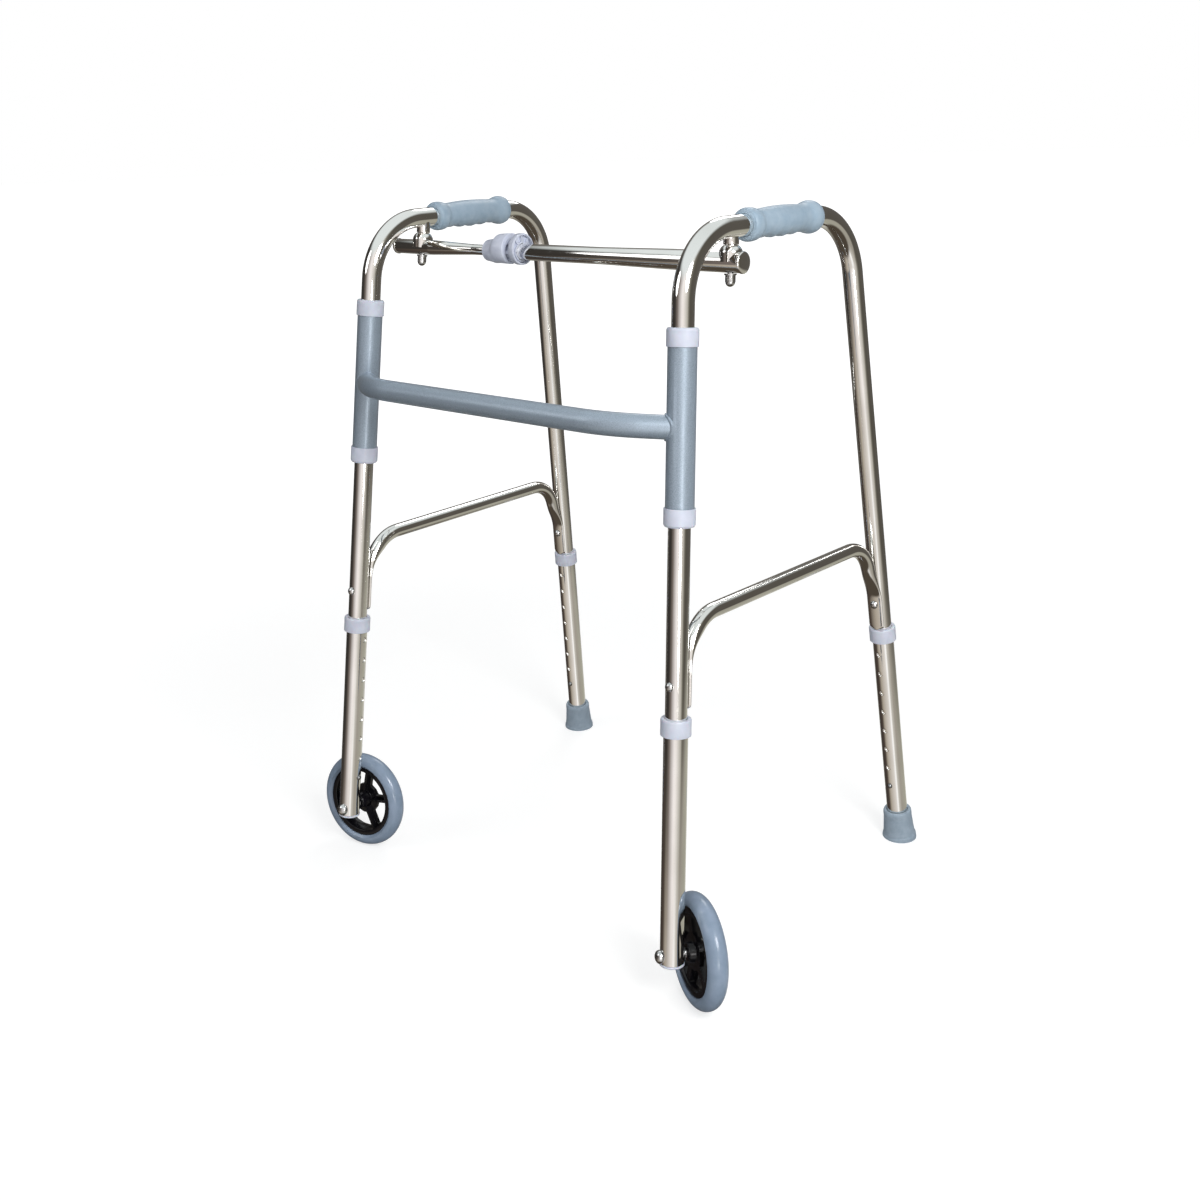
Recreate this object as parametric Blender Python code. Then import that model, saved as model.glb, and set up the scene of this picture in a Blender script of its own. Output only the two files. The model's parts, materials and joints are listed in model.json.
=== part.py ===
"""Folding wheeled walker, built from its separate pieces, in metres with Z up.

The origin is on the floor under the middle of the walker. The user stands on the
+Y side and faces -Y, so left is +X and right is -X.
A side frame's pieces are drawn once, for the left, in that frame's own axes:
X outward, Y to the rear along the handle and Z up in the frame's plane.
The right side is the same set of pieces mirrored through the middle plane.
"""
import math

import bmesh
import bpy
from mathutils import Matrix, Vector

# Facets of round pieces. Tubes that slide in one another share a count, so their facets line up.
TUBE_SIDES = 14
WHEEL_SIDES = 20
SMALL_SIDES = 8
LOCK_SIDES = 18
NECK_SIDES = 24
BRACE_SIDES = 12
HANDLE_BEND_STEPS = 6
SMALL_BEND_STEPS = 4
WELD_DISTANCE = 0.00001

# Fits between pieces
SEAT_GAP = 0.0003
WELD_GAP = 0.0001
SLIDE_GAP = 0.0002
TURN_GAP = 0.0003
PIVOT_GAP = 0.0006

# Stance of the side frames
FRONT_FOOT_X = 0.2555
FRONT_FOOT_Y = -0.232
SIDE_TILT = math.radians(2.7)
SIDE_TOE = math.radians(1.5)
FRONT_LEAN = math.radians(6.4)
REAR_LEAN = math.radians(6.2)
FOOT_SPACING = 0.4526
HANDLE_HEIGHT = 0.773
TOP_BEND_RADIUS = 0.072

# Side tube, bent in one piece from the front leg over the handle to the rear leg
TUBE_RADIUS = 0.0111
TUBE_WALL = 0.0012
TUBE_BELOW_BUTTON = 0.018

# Lower tubes, which slide outside the side tube. Heights are measured along the leg.
LOWER_WALL = 0.001
FRONT_COLLAR_TOP = 0.3089
REAR_COLLAR_TOP = 0.2871
LEG_COLLAR_HEIGHT = 0.0174
LEG_COLLAR_RADIUS = 0.0155
COLLAR_LIP = 0.0036
COLLAR_ROUND = 0.0012
HOLE_COUNT = 8
HOLE_PITCH = 0.0254
HOLE_RADIUS = 0.0032
FRONT_TOP_HOLE = 0.2816
REAR_TOP_HOLE = 0.2545
FRONT_TUBE_END = 0.0516

# Snap clip: a bent strip of spring steel with a domed button
BUTTON_RADIUS = 0.0029
BUTTON_PROUD = 0.003
CLIP_THICKNESS = 0.0008
CLIP_WIDTH = 0.0064
CLIP_ARM = 0.013

# Frame in the middle: two sleeves round the front legs and the cross tube welded to them
SLEEVE_RADIUS = 0.0143
SLEEVE_WALL = 0.0015
SLEEVE_BELOW_HANDLE = 0.083
SLEEVE_COLLAR_SPAN = 0.1903
SLEEVE_COLLAR_HEIGHT = 0.0182
SLEEVE_COLLAR_RADIUS = 0.0157
SLEEVE_COLLAR_ROUND = 0.003
SPIGOT_LENGTH = 0.012
CROSS_RADIUS = 0.0119
CROSS_WALL = 0.0015
CROSS_FORWARD = 0.043
CROSS_END_ANGLE = math.radians(38.0)
CROSS_BEND_RADIUS = 0.125

# Brace between the legs, its ends flattened and riveted
BRACE_RADIUS = 0.008
BRACE_FRONT_RISE = 0.0572
BRACE_REAR_RISE = 0.0746
BRACE_BEND_RADIUS = 0.042
TONGUE_THICKNESS = 0.005
TONGUE_WIDTH = 0.0196
TONGUE_WALL = 0.0022
FRONT_TONGUE_BELOW_RIVET = 0.0258
REAR_TONGUE_BELOW_RIVET = 0.0318
FRONT_TONGUE_CLEARANCE = 0.0076
REAR_TONGUE_CLEARANCE = 0.001
TONGUE_LENGTH = 0.038
TONGUE_FLARE = 0.024
RIVET_RADIUS = 0.0025
RIVET_HEAD_RADIUS = 0.0048
RIVET_HEAD_HEIGHT = 0.0034
RIVET_TAIL_HEIGHT = 0.0016

# Grip moulded onto the handle
GRIP_START = 0.1805
GRIP_LENGTH = 0.12
GRIP_RADIUS = 0.0158
GRIP_FLANGE = 0.0010
GRIP_NECK = 0.0014
FINGER_DEPTH = 0.0014
FINGER_COUNT = 4

# Upper bar: an outer tube on the left pivot and an inner tube on the right one
PIVOT_OUTSET = 0.00345375
BAR_SETBACK = 0.07329416
BAR_DROP = 0.035
OUTER_BAR_RADIUS = 0.0105
OUTER_BAR_THIN_RADIUS = 0.0091
OUTER_BAR_BORE = 0.0076
OUTER_BAR_TAIL = 0.0135
OUTER_TAPER_START = 0.060
OUTER_TAPER_END = 0.150
INNER_BAR_RADIUS = 0.0086
INNER_BAR_THIN_RADIUS = 0.006
INNER_BAR_WALL = 0.0014
INNER_BAR_TAIL = 0.041
INNER_BAR_END_X = 0.030
INNER_TAPER_START = -0.135
INNER_TAPER_END = -0.205
PLUG_RIM_STEP = 0.0006
PLUG_DOME = 0.004
PLUG_SPIGOT = 0.010
BUSH_LENGTH = 0.012

# Lock collar where the two bar tubes meet, with its hood raised above the bar
LOCK_MOUTH_X = -0.0572
LOCK_FLANGE_LENGTH = 0.0074
LOCK_TRAVEL = 0.0095
LOCK_CUP_LENGTH = 0.0374
LOCK_CUP_STEP = 0.0165
LOCK_CUP_SLOPE = 0.0075
LOCK_FLANGE_RADIUS = 0.0174
LOCK_RAISE = 0.003
LOCK_CUP_TIP_RADIUS = 0.012
LOCK_WALL = 0.002
LOCK_WEB = 0.003
CUP_BORE = 0.0089
LOCK_HUB_RADIUS = 0.0109
LOCK_CORE_RADIUS = 0.0093
LOCK_NECK_RADIUS = 0.0112
LOCK_NECK_LENGTH = 0.022
NECK_RIB_COUNT = 6
NECK_RIB = 0.0034
MOUTH_RIB = 0.0014
MOUTH_RIB_ANGLES = (-35, 0, 35)

# Pivots of the upper bar: lug under the handle, spacer, stud and cap nut
STUD_RADIUS = 0.003
LUG_BOTTOM = 0.0168
LUG_RADIUS = 0.0078
SADDLE_TOP_RADIUS = 0.0070
SADDLE_FOOT_RADIUS = 0.0118
STUD_IN_LUG = 0.0035
STUD_LAP = 0.0052
CAP_NUT_RADIUS = 0.0052
CAP_NUT_LENGTH = 0.013
CAP_NUT_FLANGE = 0.0015

# Wheels. Each axle is turned outward about its leg from straight back.
AXLE_TURN = {"left": math.radians(29.0), "right": math.radians(9.0)}
AXLE_RADIUS = 0.003
AXLE_HEAD_RADIUS = 0.0052
AXLE_HEAD_HEIGHT = 0.0036
WHEEL_RADIUS = 0.0588
TYRE_WIDTH = 0.022
TREAD_STEPS = 5
RIM_RADIUS = 0.0448
RIM_WIDTH = 0.017
RIM_THICKNESS = 0.006
WEB_THICKNESS = 0.005
WEB_SHIFT = {"left": -0.004, "right": 0.004}
WINDOW_TURN = {"left": 0.0, "right": math.radians(12.0)}
BOSS_RADIUS = 0.0105
BOSS_LENGTH = 0.026
SPOKE_COUNT = 5
SPOKE_WIDTH = 0.009
SPOKE_RIB = 0.0022
WINDOW_START = 0.019
WINDOW_END = 0.0365
AXLE_SPACER = 0.0032
AXLE_SPACER_RADIUS = 0.0065
AXLE_NUT_RADIUS = 0.0062
AXLE_NUT_HEIGHT = 0.005
AXLE_NUT_SIDES = 6
PLUG_RIM = 0.0022
PLUG_DEPTH = 0.0034

# Rubber tips of the rear legs
TIP_HEIGHT = 0.039
TIP_TOP_RADIUS = 0.0168
TIP_FOOT_RADIUS = 0.0206
TIP_FLOOR = 0.012
TIP_TRIM = 0.004

# Sizes that follow from those above
LOWER_BORE = TUBE_RADIUS + SLIDE_GAP
LOWER_RADIUS = LOWER_BORE + LOWER_WALL
BUTTON_DROP = (HOLE_COUNT - 1) * HOLE_PITCH
FRONT_BUTTON = FRONT_TOP_HOLE - BUTTON_DROP
REAR_BUTTON = REAR_TOP_HOLE - BUTTON_DROP
FRONT_RIVET_HEIGHT = FRONT_COLLAR_TOP + FRONT_TONGUE_CLEARANCE + FRONT_TONGUE_BELOW_RIVET
REAR_RIVET_HEIGHT = REAR_COLLAR_TOP + REAR_TONGUE_CLEARANCE + REAR_TONGUE_BELOW_RIVET
BRACE_FRONT_HEIGHT = FRONT_RIVET_HEIGHT + BRACE_FRONT_RISE
BRACE_REAR_HEIGHT = REAR_RIVET_HEIGHT + BRACE_REAR_RISE
PIVOT_X = FRONT_FOOT_X - HANDLE_HEIGHT * math.tan(SIDE_TILT) + PIVOT_OUTSET
BAR_Y = FRONT_FOOT_Y + HANDLE_HEIGHT * math.tan(FRONT_LEAN) + BAR_SETBACK
BAR_Z = HANDLE_HEIGHT - BAR_DROP
SLEEVE_BORE = SLEEVE_RADIUS - SLEEVE_WALL
SLEEVE_COLLAR_TOP = HANDLE_HEIGHT - SLEEVE_BELOW_HANDLE
SLEEVE_COLLAR_BOTTOM = SLEEVE_COLLAR_TOP - SLEEVE_COLLAR_SPAN
SLEEVE_TOP = SLEEVE_COLLAR_TOP - COLLAR_LIP - SEAT_GAP
SLEEVE_BOTTOM = SLEEVE_COLLAR_BOTTOM + COLLAR_LIP + SEAT_GAP
WHEEL_OFFSET = LOWER_RADIUS + AXLE_SPACER + 2 * SEAT_GAP + BOSS_LENGTH / 2
BRACE_OFFSET = TUBE_RADIUS + SEAT_GAP + BRACE_RADIUS
TONGUE_FACE = TUBE_RADIUS + SEAT_GAP + TONGUE_WALL
CLIP_REACH = TUBE_RADIUS - TUBE_WALL - SEAT_GAP - 1.4 * CLIP_THICKNESS
TONGUE_SHIFT = BRACE_OFFSET - TONGUE_FACE + TONGUE_THICKNESS / 2
LOCK_BACK_X = LOCK_MOUTH_X - LOCK_FLANGE_LENGTH
CUP_RIM_X = LOCK_BACK_X - LOCK_TRAVEL - SEAT_GAP
OUTER_BAR_END_X = LOCK_BACK_X + LOCK_WEB
SPOKE_STEP = 2 * math.pi / SPOKE_COUNT

LINEAR_CUT = 0.04045
COLOURS = {
    "chrome": ("#C9CBCD", 1.0, 0.12),
    "frame_paint": ("#A9B2C2", 0.2, 0.38),
    "collar_plastic": ("#DFDDEA", 0.0, 0.42),
    "grip_plastic": ("#98A9B6", 0.0, 0.48),
    "lock_plastic": ("#B9BCC9", 0.0, 0.42),
    "hardware": ("#B9BCBE", 1.0, 0.25),
    "spring_steel": ("#8B8D8F", 1.0, 0.35),
    "tyre_rubber": ("#8897AA", 0.0, 0.5),
    "hub_plastic": ("#121316", 0.0, 0.38),
    "tip_rubber": ("#7F8A99", 0.0, 0.65),
}

MIRROR = Matrix.Diagonal((-1.0, 1.0, 1.0, 1.0))
SIDE_NORMAL = Vector((1.0, 0.0, 0.0))
WORLD_OF = {}


def shift(x=0.0, y=0.0, z=0.0):
    return Matrix.Translation((x, y, z))


def turn(angle, axis):
    return Matrix.Rotation(angle, 4, axis)


SIDE_AXES = shift(x=FRONT_FOOT_X, y=FRONT_FOOT_Y) @ turn(-SIDE_TOE, "Z") @ turn(-SIDE_TILT, "Y")
FIRST_ON_X = turn(-math.pi / 2, "Z")
FRONT_LEG = turn(-FRONT_LEAN, "X")
REAR_LEG = shift(y=FOOT_SPACING) @ turn(REAR_LEAN, "X")
PIVOT_POINT = SIDE_AXES.inverted() @ Vector((PIVOT_X, BAR_Y, BAR_Z))
PIVOT_AXES = Matrix.Translation(PIVOT_POINT) @ FRONT_LEG


def clear_scene():
    for old in list(bpy.data.objects):
        bpy.data.objects.remove(old, do_unlink=True)


def linear(channel):
    """One sRGB channel, 0 to 1, as the linear value that the shader takes."""
    if channel <= LINEAR_CUT:
        return channel / 12.92
    return ((channel + 0.055) / 1.055) ** 2.4


def finish_material(name, finish):
    colour, metallic, roughness = COLOURS[finish]
    channels = [int(colour[i:i + 2], 16) / 255.0 for i in (1, 3, 5)]
    material = bpy.data.materials.new(name + "_" + finish)
    material.use_nodes = True
    shader = material.node_tree.nodes["Principled BSDF"]
    shader.inputs["Base Color"].default_value = [linear(c) for c in channels] + [1.0]
    shader.inputs["Metallic"].default_value = metallic
    shader.inputs["Roughness"].default_value = roughness
    return material


def place_object(item, world, parent):
    """Puts an object at a world matrix under its parent, which is placed before it."""
    item.parent = parent
    if parent is None:
        item.matrix_local = world
    else:
        item.matrix_local = WORLD_OF[parent.name].inverted() @ world
    WORLD_OF[item.name] = world


def world_matrix(sign, place):
    """The world matrix of a place in the left frame's axes, or of its mirror image."""
    world = SIDE_AXES @ place
    if sign < 0:
        return MIRROR @ world @ MIRROR
    return world


def mirror_mesh(bm):
    bmesh.ops.transform(bm, matrix=MIRROR, verts=bm.verts)
    bmesh.ops.reverse_faces(bm, faces=bm.faces)


def mesh_object(name, bm):
    mesh = bpy.data.meshes.new(name)
    bm.to_mesh(mesh)
    bm.free()
    item = bpy.data.objects.new(name, mesh)
    bpy.context.collection.objects.link(item)
    return item


def add_part(name, bm, world, finish, parent=None, sign=1, smooth=True):
    """One named solid with its own material. A sign of -1 mirrors the mesh for the right side."""
    if sign < 0:
        mirror_mesh(bm)
    for face in bm.faces:
        face.smooth = smooth
    item = mesh_object(name, bm)
    item.data.materials.append(finish_material(name, finish))
    place_object(item, world, parent)
    return item


def combine(part, label, bm, operation, sign=1):
    """Adds a Boolean with a hidden helper that is drawn in the part's own axes."""
    if sign < 0:
        mirror_mesh(bm)
    helper = mesh_object(part.name + "_" + label, bm)
    helper.hide_render = True
    helper.display_type = "WIRE"
    place_object(helper, WORLD_OF[part.name], part)
    modifier = part.modifiers.new(label, "BOOLEAN")
    modifier.operation = operation
    modifier.object = helper


def add_axis(name, world, parent=None):
    """An empty on a joint's axis. Its Z runs along the axis."""
    empty = bpy.data.objects.new(name, None)
    empty.empty_display_size = 0.03
    bpy.context.collection.objects.link(empty)
    place_object(empty, world, parent)
    return empty


def revolve(profile, sides=TUBE_SIDES):
    """Spins (radius, height) points about Z. A profile that starts off the axis is a closed ring."""
    bm = bmesh.new()
    verts = [bm.verts.new((radius, 0.0, height)) for radius, height in profile]
    pairs = list(zip(verts, verts[1:]))
    if profile[0][0] > WELD_DISTANCE:
        pairs.append((verts[-1], verts[0]))
    edges = [bm.edges.new(pair) for pair in pairs]
    bmesh.ops.spin(
        bm,
        geom=verts + edges,
        cent=(0.0, 0.0, 0.0),
        axis=(0.0, 0.0, 1.0),
        angle=2 * math.pi,
        steps=sides,
        use_merge=True,
    )
    bmesh.ops.remove_doubles(bm, verts=bm.verts, dist=WELD_DISTANCE)
    bmesh.ops.recalc_face_normals(bm, faces=bm.faces)
    return bm


def add_cylinder(bm, place, radius, length, sides=TUBE_SIDES):
    """A capped cylinder centred on a place, with its axis along that place's Z."""
    bmesh.ops.create_cone(
        bm,
        cap_ends=True,
        segments=sides,
        radius1=radius,
        radius2=radius,
        depth=length,
        matrix=place @ FIRST_ON_X,
    )


def drill(place, radius, length, sides=SMALL_SIDES):
    bm = bmesh.new()
    add_cylinder(bm, place, radius, length, sides)
    return bm


def add_ring(bm, frame, radius, flat=1.0, wide=1.0, sides=TUBE_SIDES):
    """A loop of edges in a frame's XY plane, stretched along X and flattened along Y."""
    first = len(bm.edges)
    stretch = Matrix.Diagonal((wide, flat, 1.0, 1.0))
    bmesh.ops.create_circle(bm, radius=radius, segments=sides, matrix=frame @ stretch @ FIRST_ON_X)
    bm.edges.ensure_lookup_table()
    return bm.edges[first:]


def bridge_rings(bm, rings):
    for near, far in zip(rings, rings[1:]):
        bmesh.ops.bridge_loops(bm, edges=near + far)


def cap_rings(bm, rings):
    bmesh.ops.edgeloop_fill(bm, edges=rings[0])
    bmesh.ops.edgeloop_fill(bm, edges=rings[-1])


def finish_skin(bm):
    bmesh.ops.recalc_face_normals(bm, faces=bm.faces)
    return bm


def fillet(before, corner, after, radius, count):
    """Points on the arc that rounds a corner of a path."""
    back = (before - corner).normalized()
    ahead = (after - corner).normalized()
    half = back.angle(ahead) / 2
    centre = corner + (back + ahead).normalized() * (radius / math.sin(half))
    reach = radius / math.tan(half)
    start = corner + back * reach - centre
    axis = back.cross(ahead).normalized()
    sweep = math.pi - 2 * half
    turns = [turn(-sweep * step / count, axis).to_3x3() for step in range(count + 1)]
    return [centre + part_turn @ start for part_turn in turns]


def rounded_path(corners, radius, count=SMALL_BEND_STEPS):
    path = [corners[0]]
    for before, corner, after in zip(corners, corners[1:], corners[2:]):
        path += fillet(before, corner, after, radius, count)
    path.append(corners[-1])
    return path


def path_frames(path, normal):
    """A frame at each point of a flat path: Z along the path and X along the plane's normal."""
    legs = [(end - start).normalized() for start, end in zip(path, path[1:])]
    legs = [legs[0]] + legs + [legs[-1]]
    frames = []
    for point, before, after in zip(path, legs, legs[1:]):
        along = (before + after).normalized()
        across = along.cross(normal).normalized()
        frame = Matrix((normal, across, along)).transposed().to_4x4()
        frames.append(Matrix.Translation(point) @ frame)
    return frames


def tube_skin(frames, radius, wall):
    """A bent tube, open at both ends, from its centre line's frames."""
    bm = bmesh.new()
    rings = [add_ring(bm, frame, radius) for frame in frames]
    bridge_rings(bm, rings)
    finish_skin(bm)
    bmesh.ops.solidify(bm, geom=bm.faces[:], thickness=wall)
    return finish_skin(bm)


def rod_skin(frames, radius):
    bm = bmesh.new()
    rings = [add_ring(bm, frame, radius) for frame in frames]
    bridge_rings(bm, rings)
    cap_rings(bm, rings)
    return finish_skin(bm)


def radial(leg, height, angle):
    """A place on a leg's axis with Z pointing out from it, turned about the leg from X."""
    return leg @ shift(z=height) @ turn(angle, "Z") @ turn(math.pi / 2, "Y")


def across_leg(leg, height):
    """A place on a leg's axis with Z pointing to the rear."""
    return leg @ shift(z=height) @ turn(-math.pi / 2, "X")


def leg_point(leg, height, rearward=0.0):
    return leg @ Vector((0.0, rearward, height))


def meet_height(leg, rearward, height):
    """Where a line beside a leg reaches a height in the frame's plane."""
    low = leg_point(leg, 0.0, rearward)
    step = leg_point(leg, 1.0, rearward) - low
    return low + step * ((height - low.z) / step.z)


def turning_bore(radius, sides=TUBE_SIDES):
    """The bore whose flats still clear a faceted shaft that turns inside it."""
    return (radius + TURN_GAP) / math.cos(math.pi / sides)


def leg_holes(first, leg_turn):
    """Drills for the row of height holes in one side of a lower tube."""
    bm = bmesh.new()
    middle = LOWER_RADIUS
    for step in range(HOLE_COUNT):
        place = radial(Matrix.Identity(4), first - step * HOLE_PITCH, leg_turn)
        add_cylinder(bm, place @ shift(z=middle), HOLE_RADIUS, LOWER_RADIUS, SMALL_SIDES)
    return bm


def hole_turn(side, end):
    """Front holes face inboard, square to the axle. Rear holes face forward."""
    if end == "front":
        return math.pi - AXLE_TURN[side]
    return -math.pi / 2


def axle_place(side):
    """The axle's place on its leg, as high as the wheel needs to stand on the floor."""
    leg = FRONT_LEG @ turn(-AXLE_TURN[side], "Z")
    foot = SIDE_AXES @ across_leg(leg, 0.0)
    rise = (SIDE_AXES @ leg).col[2].z
    lean = foot.col[2].z
    tread = TYRE_WIDTH / 2
    centre = tread + (WHEEL_RADIUS - tread) * math.sqrt(1 - lean * lean)
    height = (centre - WHEEL_OFFSET * lean - foot.translation.z) / rise
    return across_leg(leg, height)


def side_tube(side, sign, parent):
    front_end = FRONT_BUTTON - TUBE_BELOW_BUTTON
    rear_end = REAR_BUTTON - TUBE_BELOW_BUTTON
    corners = [
        leg_point(FRONT_LEG, front_end),
        meet_height(FRONT_LEG, 0.0, HANDLE_HEIGHT),
        meet_height(REAR_LEG, 0.0, HANDLE_HEIGHT),
        leg_point(REAR_LEG, rear_end),
    ]
    path = rounded_path(corners, TOP_BEND_RADIUS, HANDLE_BEND_STEPS)
    frames = path_frames(path, SIDE_NORMAL)
    bm = tube_skin(frames, TUBE_RADIUS, TUBE_WALL)
    world = world_matrix(sign, Matrix.Identity(4))
    tube = add_part(side + "_side_tube", bm, world, "chrome", parent, sign)
    holes = bmesh.new()
    through = 3 * TUBE_RADIUS
    rivet_hole = RIVET_RADIUS + TURN_GAP
    for leg, height in ((FRONT_LEG, FRONT_RIVET_HEIGHT), (REAR_LEG, REAR_RIVET_HEIGHT)):
        add_cylinder(holes, across_leg(leg, height), rivet_hole, through, SMALL_SIDES)
    for leg, height, end in ((FRONT_LEG, FRONT_BUTTON, "front"), (REAR_LEG, REAR_BUTTON, "rear")):
        place = radial(leg, height, hole_turn(side, end)) @ shift(z=TUBE_RADIUS)
        add_cylinder(holes, place, HOLE_RADIUS, TUBE_RADIUS, SMALL_SIDES)
    combine(tube, "holes", holes, "DIFFERENCE", sign)


def tongue_sections():
    """Distance from the end, half width, half thickness and shift to the leg of a brace's end."""
    half_wide = TONGUE_WIDTH / 2
    half_flat = TONGUE_THICKNESS / 2
    sections = []
    for reach, share in ((0.0, 0.6), (0.0012, 0.86), (0.004, 1.0), (TONGUE_LENGTH, 1.0)):
        sections.append((reach, half_wide * share, half_flat, TONGUE_SHIFT))
    for share in (0.4, 0.75):
        wide = half_wide + (BRACE_RADIUS - half_wide) * share
        flat = half_flat + (BRACE_RADIUS - half_flat) * share
        sections.append((TONGUE_LENGTH + TONGUE_FLARE * share, wide, flat, TONGUE_SHIFT * (1 - share)))
    return sections


def point_along(path, distance):
    """The point at a distance along a path."""
    for start, end in zip(path, path[1:]):
        length = (end - start).length
        if distance <= length:
            return start + (end - start) * (distance / length)
        distance -= length
    return path[-1].copy()


def brace_sections(path, length):
    """The brace's sections from end to end: a tongue, the round bar round its bends, a tongue."""
    front = tongue_sections()
    rear = [(length - reach, wide, flat, lean) for reach, wide, flat, lean in reversed(front)]
    round_start = TONGUE_LENGTH + TONGUE_FLARE
    middle = []
    walked = 0.0
    for start, end in zip(path, path[1:]):
        walked += (end - start).length
        if round_start < walked < length - round_start:
            middle.append((walked, BRACE_RADIUS, BRACE_RADIUS, 0.0))
    return front + middle + rear


def brace(side, sign, parent):
    """A round bar whose ends are pressed flat and wrapped against the legs."""
    front_end = FRONT_RIVET_HEIGHT - FRONT_TONGUE_BELOW_RIVET
    rear_end = REAR_RIVET_HEIGHT - REAR_TONGUE_BELOW_RIVET
    corners = [
        leg_point(FRONT_LEG, front_end, BRACE_OFFSET),
        meet_height(FRONT_LEG, BRACE_OFFSET, BRACE_FRONT_HEIGHT),
        meet_height(REAR_LEG, -BRACE_OFFSET, BRACE_REAR_HEIGHT),
        leg_point(REAR_LEG, rear_end, -BRACE_OFFSET),
    ]
    path = rounded_path(corners, BRACE_BEND_RADIUS)
    length = sum((end - start).length for start, end in zip(path, path[1:]))
    sections = brace_sections(path, length)
    points = [point_along(path, section[0]) for section in sections]
    bm = bmesh.new()
    rings = []
    for frame, (_, wide, flat, lean) in zip(path_frames(points, SIDE_NORMAL), sections):
        rings.append(add_ring(bm, frame @ shift(y=-lean), 1.0, flat, wide, BRACE_SIDES))
    bridge_rings(bm, rings)
    cap_rings(bm, rings)
    finish_skin(bm)
    world = world_matrix(sign, Matrix.Identity(4))
    bar = add_part(side + "_brace", bm, world, "chrome", parent, sign)
    wrap = bmesh.new()
    for leg, height in ((FRONT_LEG, FRONT_RIVET_HEIGHT), (REAR_LEG, REAR_RIVET_HEIGHT)):
        add_cylinder(wrap, leg @ shift(z=height), TUBE_RADIUS + SEAT_GAP, 6 * TONGUE_LENGTH)
    combine(bar, "wrap", wrap, "DIFFERENCE", sign)
    holes = bmesh.new()
    rivet_hole = RIVET_RADIUS + TURN_GAP
    front = across_leg(FRONT_LEG, FRONT_RIVET_HEIGHT) @ shift(z=TONGUE_FACE)
    rear = across_leg(REAR_LEG, REAR_RIVET_HEIGHT) @ shift(z=-TONGUE_FACE)
    add_cylinder(holes, front, rivet_hole, 2 * TONGUE_THICKNESS, SMALL_SIDES)
    add_cylinder(holes, rear, rivet_hole, 2 * TONGUE_THICKNESS, SMALL_SIDES)
    combine(bar, "holes", holes, "DIFFERENCE", sign)


def rivets(side, sign, parent):
    """Domed heads face forward. The flattened brace is behind the front leg, before the rear one."""
    grip_tube = TUBE_RADIUS + SEAT_GAP
    grip_brace = TONGUE_FACE + SEAT_GAP
    jobs = (
        ("front", across_leg(FRONT_LEG, FRONT_RIVET_HEIGHT), grip_tube, grip_brace),
        ("rear", across_leg(REAR_LEG, REAR_RIVET_HEIGHT), grip_brace, grip_tube),
    )
    for end, place, head_seat, tail_seat in jobs:
        profile = [
            (0.0, -head_seat - RIVET_HEAD_HEIGHT),
            (0.75 * RIVET_HEAD_RADIUS, -head_seat - 0.7 * RIVET_HEAD_HEIGHT),
            (RIVET_HEAD_RADIUS, -head_seat),
            (RIVET_RADIUS, -head_seat),
            (RIVET_RADIUS, tail_seat),
            (0.8 * RIVET_HEAD_RADIUS, tail_seat),
            (0.8 * RIVET_HEAD_RADIUS, tail_seat + RIVET_TAIL_HEIGHT),
            (0.0, tail_seat + RIVET_TAIL_HEIGHT),
        ]
        name = side + "_" + end + "_rivet"
        add_part(name, revolve(profile, SMALL_SIDES), world_matrix(sign, place), "hardware", parent, sign)


def grip_outline():
    """Radius along the grip: a rounded flange at each end and a swell for the palm between."""
    length = GRIP_LENGTH
    flange = GRIP_RADIUS + GRIP_FLANGE
    neck = GRIP_RADIUS - GRIP_NECK
    return [
        (0.9 * flange, 0.0),
        (flange, 0.04 * length),
        (0.98 * flange, 0.1 * length),
        (neck, 0.165 * length),
        (0.97 * GRIP_RADIUS, 0.33 * length),
        (GRIP_RADIUS, 0.48 * length),
        (0.97 * GRIP_RADIUS, 0.65 * length),
        (neck, 0.82 * length),
        (0.98 * flange, 0.89 * length),
        (1.03 * flange, 0.94 * length),
        (0.9 * flange, length),
    ]


def press_finger_grooves(bm):
    """Draws in the underside of the palm section in waves, one for each finger."""
    start = 0.2 * GRIP_LENGTH
    span = 0.6 * GRIP_LENGTH
    for vert in bm.verts:
        across = Vector((vert.co.x, vert.co.y))
        share = (vert.co.z - start) / span
        if not 0.0 < share < 1.0 or across.length < TUBE_RADIUS + GRIP_NECK:
            continue
        downward = max(0.0, vert.co.y / across.length)
        wave = 0.5 - 0.5 * math.cos(2 * math.pi * FINGER_COUNT * share)
        factor = 1.0 - FINGER_DEPTH * wave * downward / across.length
        vert.co.x *= factor
        vert.co.y *= factor


def grip(side, sign, parent):
    bore = TUBE_RADIUS + SLIDE_GAP
    outline = grip_outline()
    bm = revolve(outline + [(bore, GRIP_LENGTH), (bore, 0.0)])
    place = shift(y=GRIP_START, z=HANDLE_HEIGHT) @ turn(-math.pi / 2, "X")
    press_finger_grooves(bm)
    add_part(side + "_grip", bm, world_matrix(sign, place), "grip_plastic", parent, sign)


def lower_tube(side, end, leg, bottom, top, sign, parent):
    profile = [(LOWER_BORE, bottom), (LOWER_RADIUS, bottom), (LOWER_RADIUS, top), (LOWER_BORE, top)]
    world = world_matrix(sign, leg)
    name = side + "_" + end + "_lower_tube"
    tube = add_part(name, revolve(profile), world, "chrome", parent, sign)
    first = FRONT_TOP_HOLE if end == "front" else REAR_TOP_HOLE
    holes = leg_holes(first, hole_turn(side, end))
    if end == "front":
        axle = leg.inverted() @ axle_place(side)
        add_cylinder(holes, axle, AXLE_RADIUS + TURN_GAP, 3 * LOWER_RADIUS, SMALL_SIDES)
    combine(tube, "holes", holes, "DIFFERENCE", sign)


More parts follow.
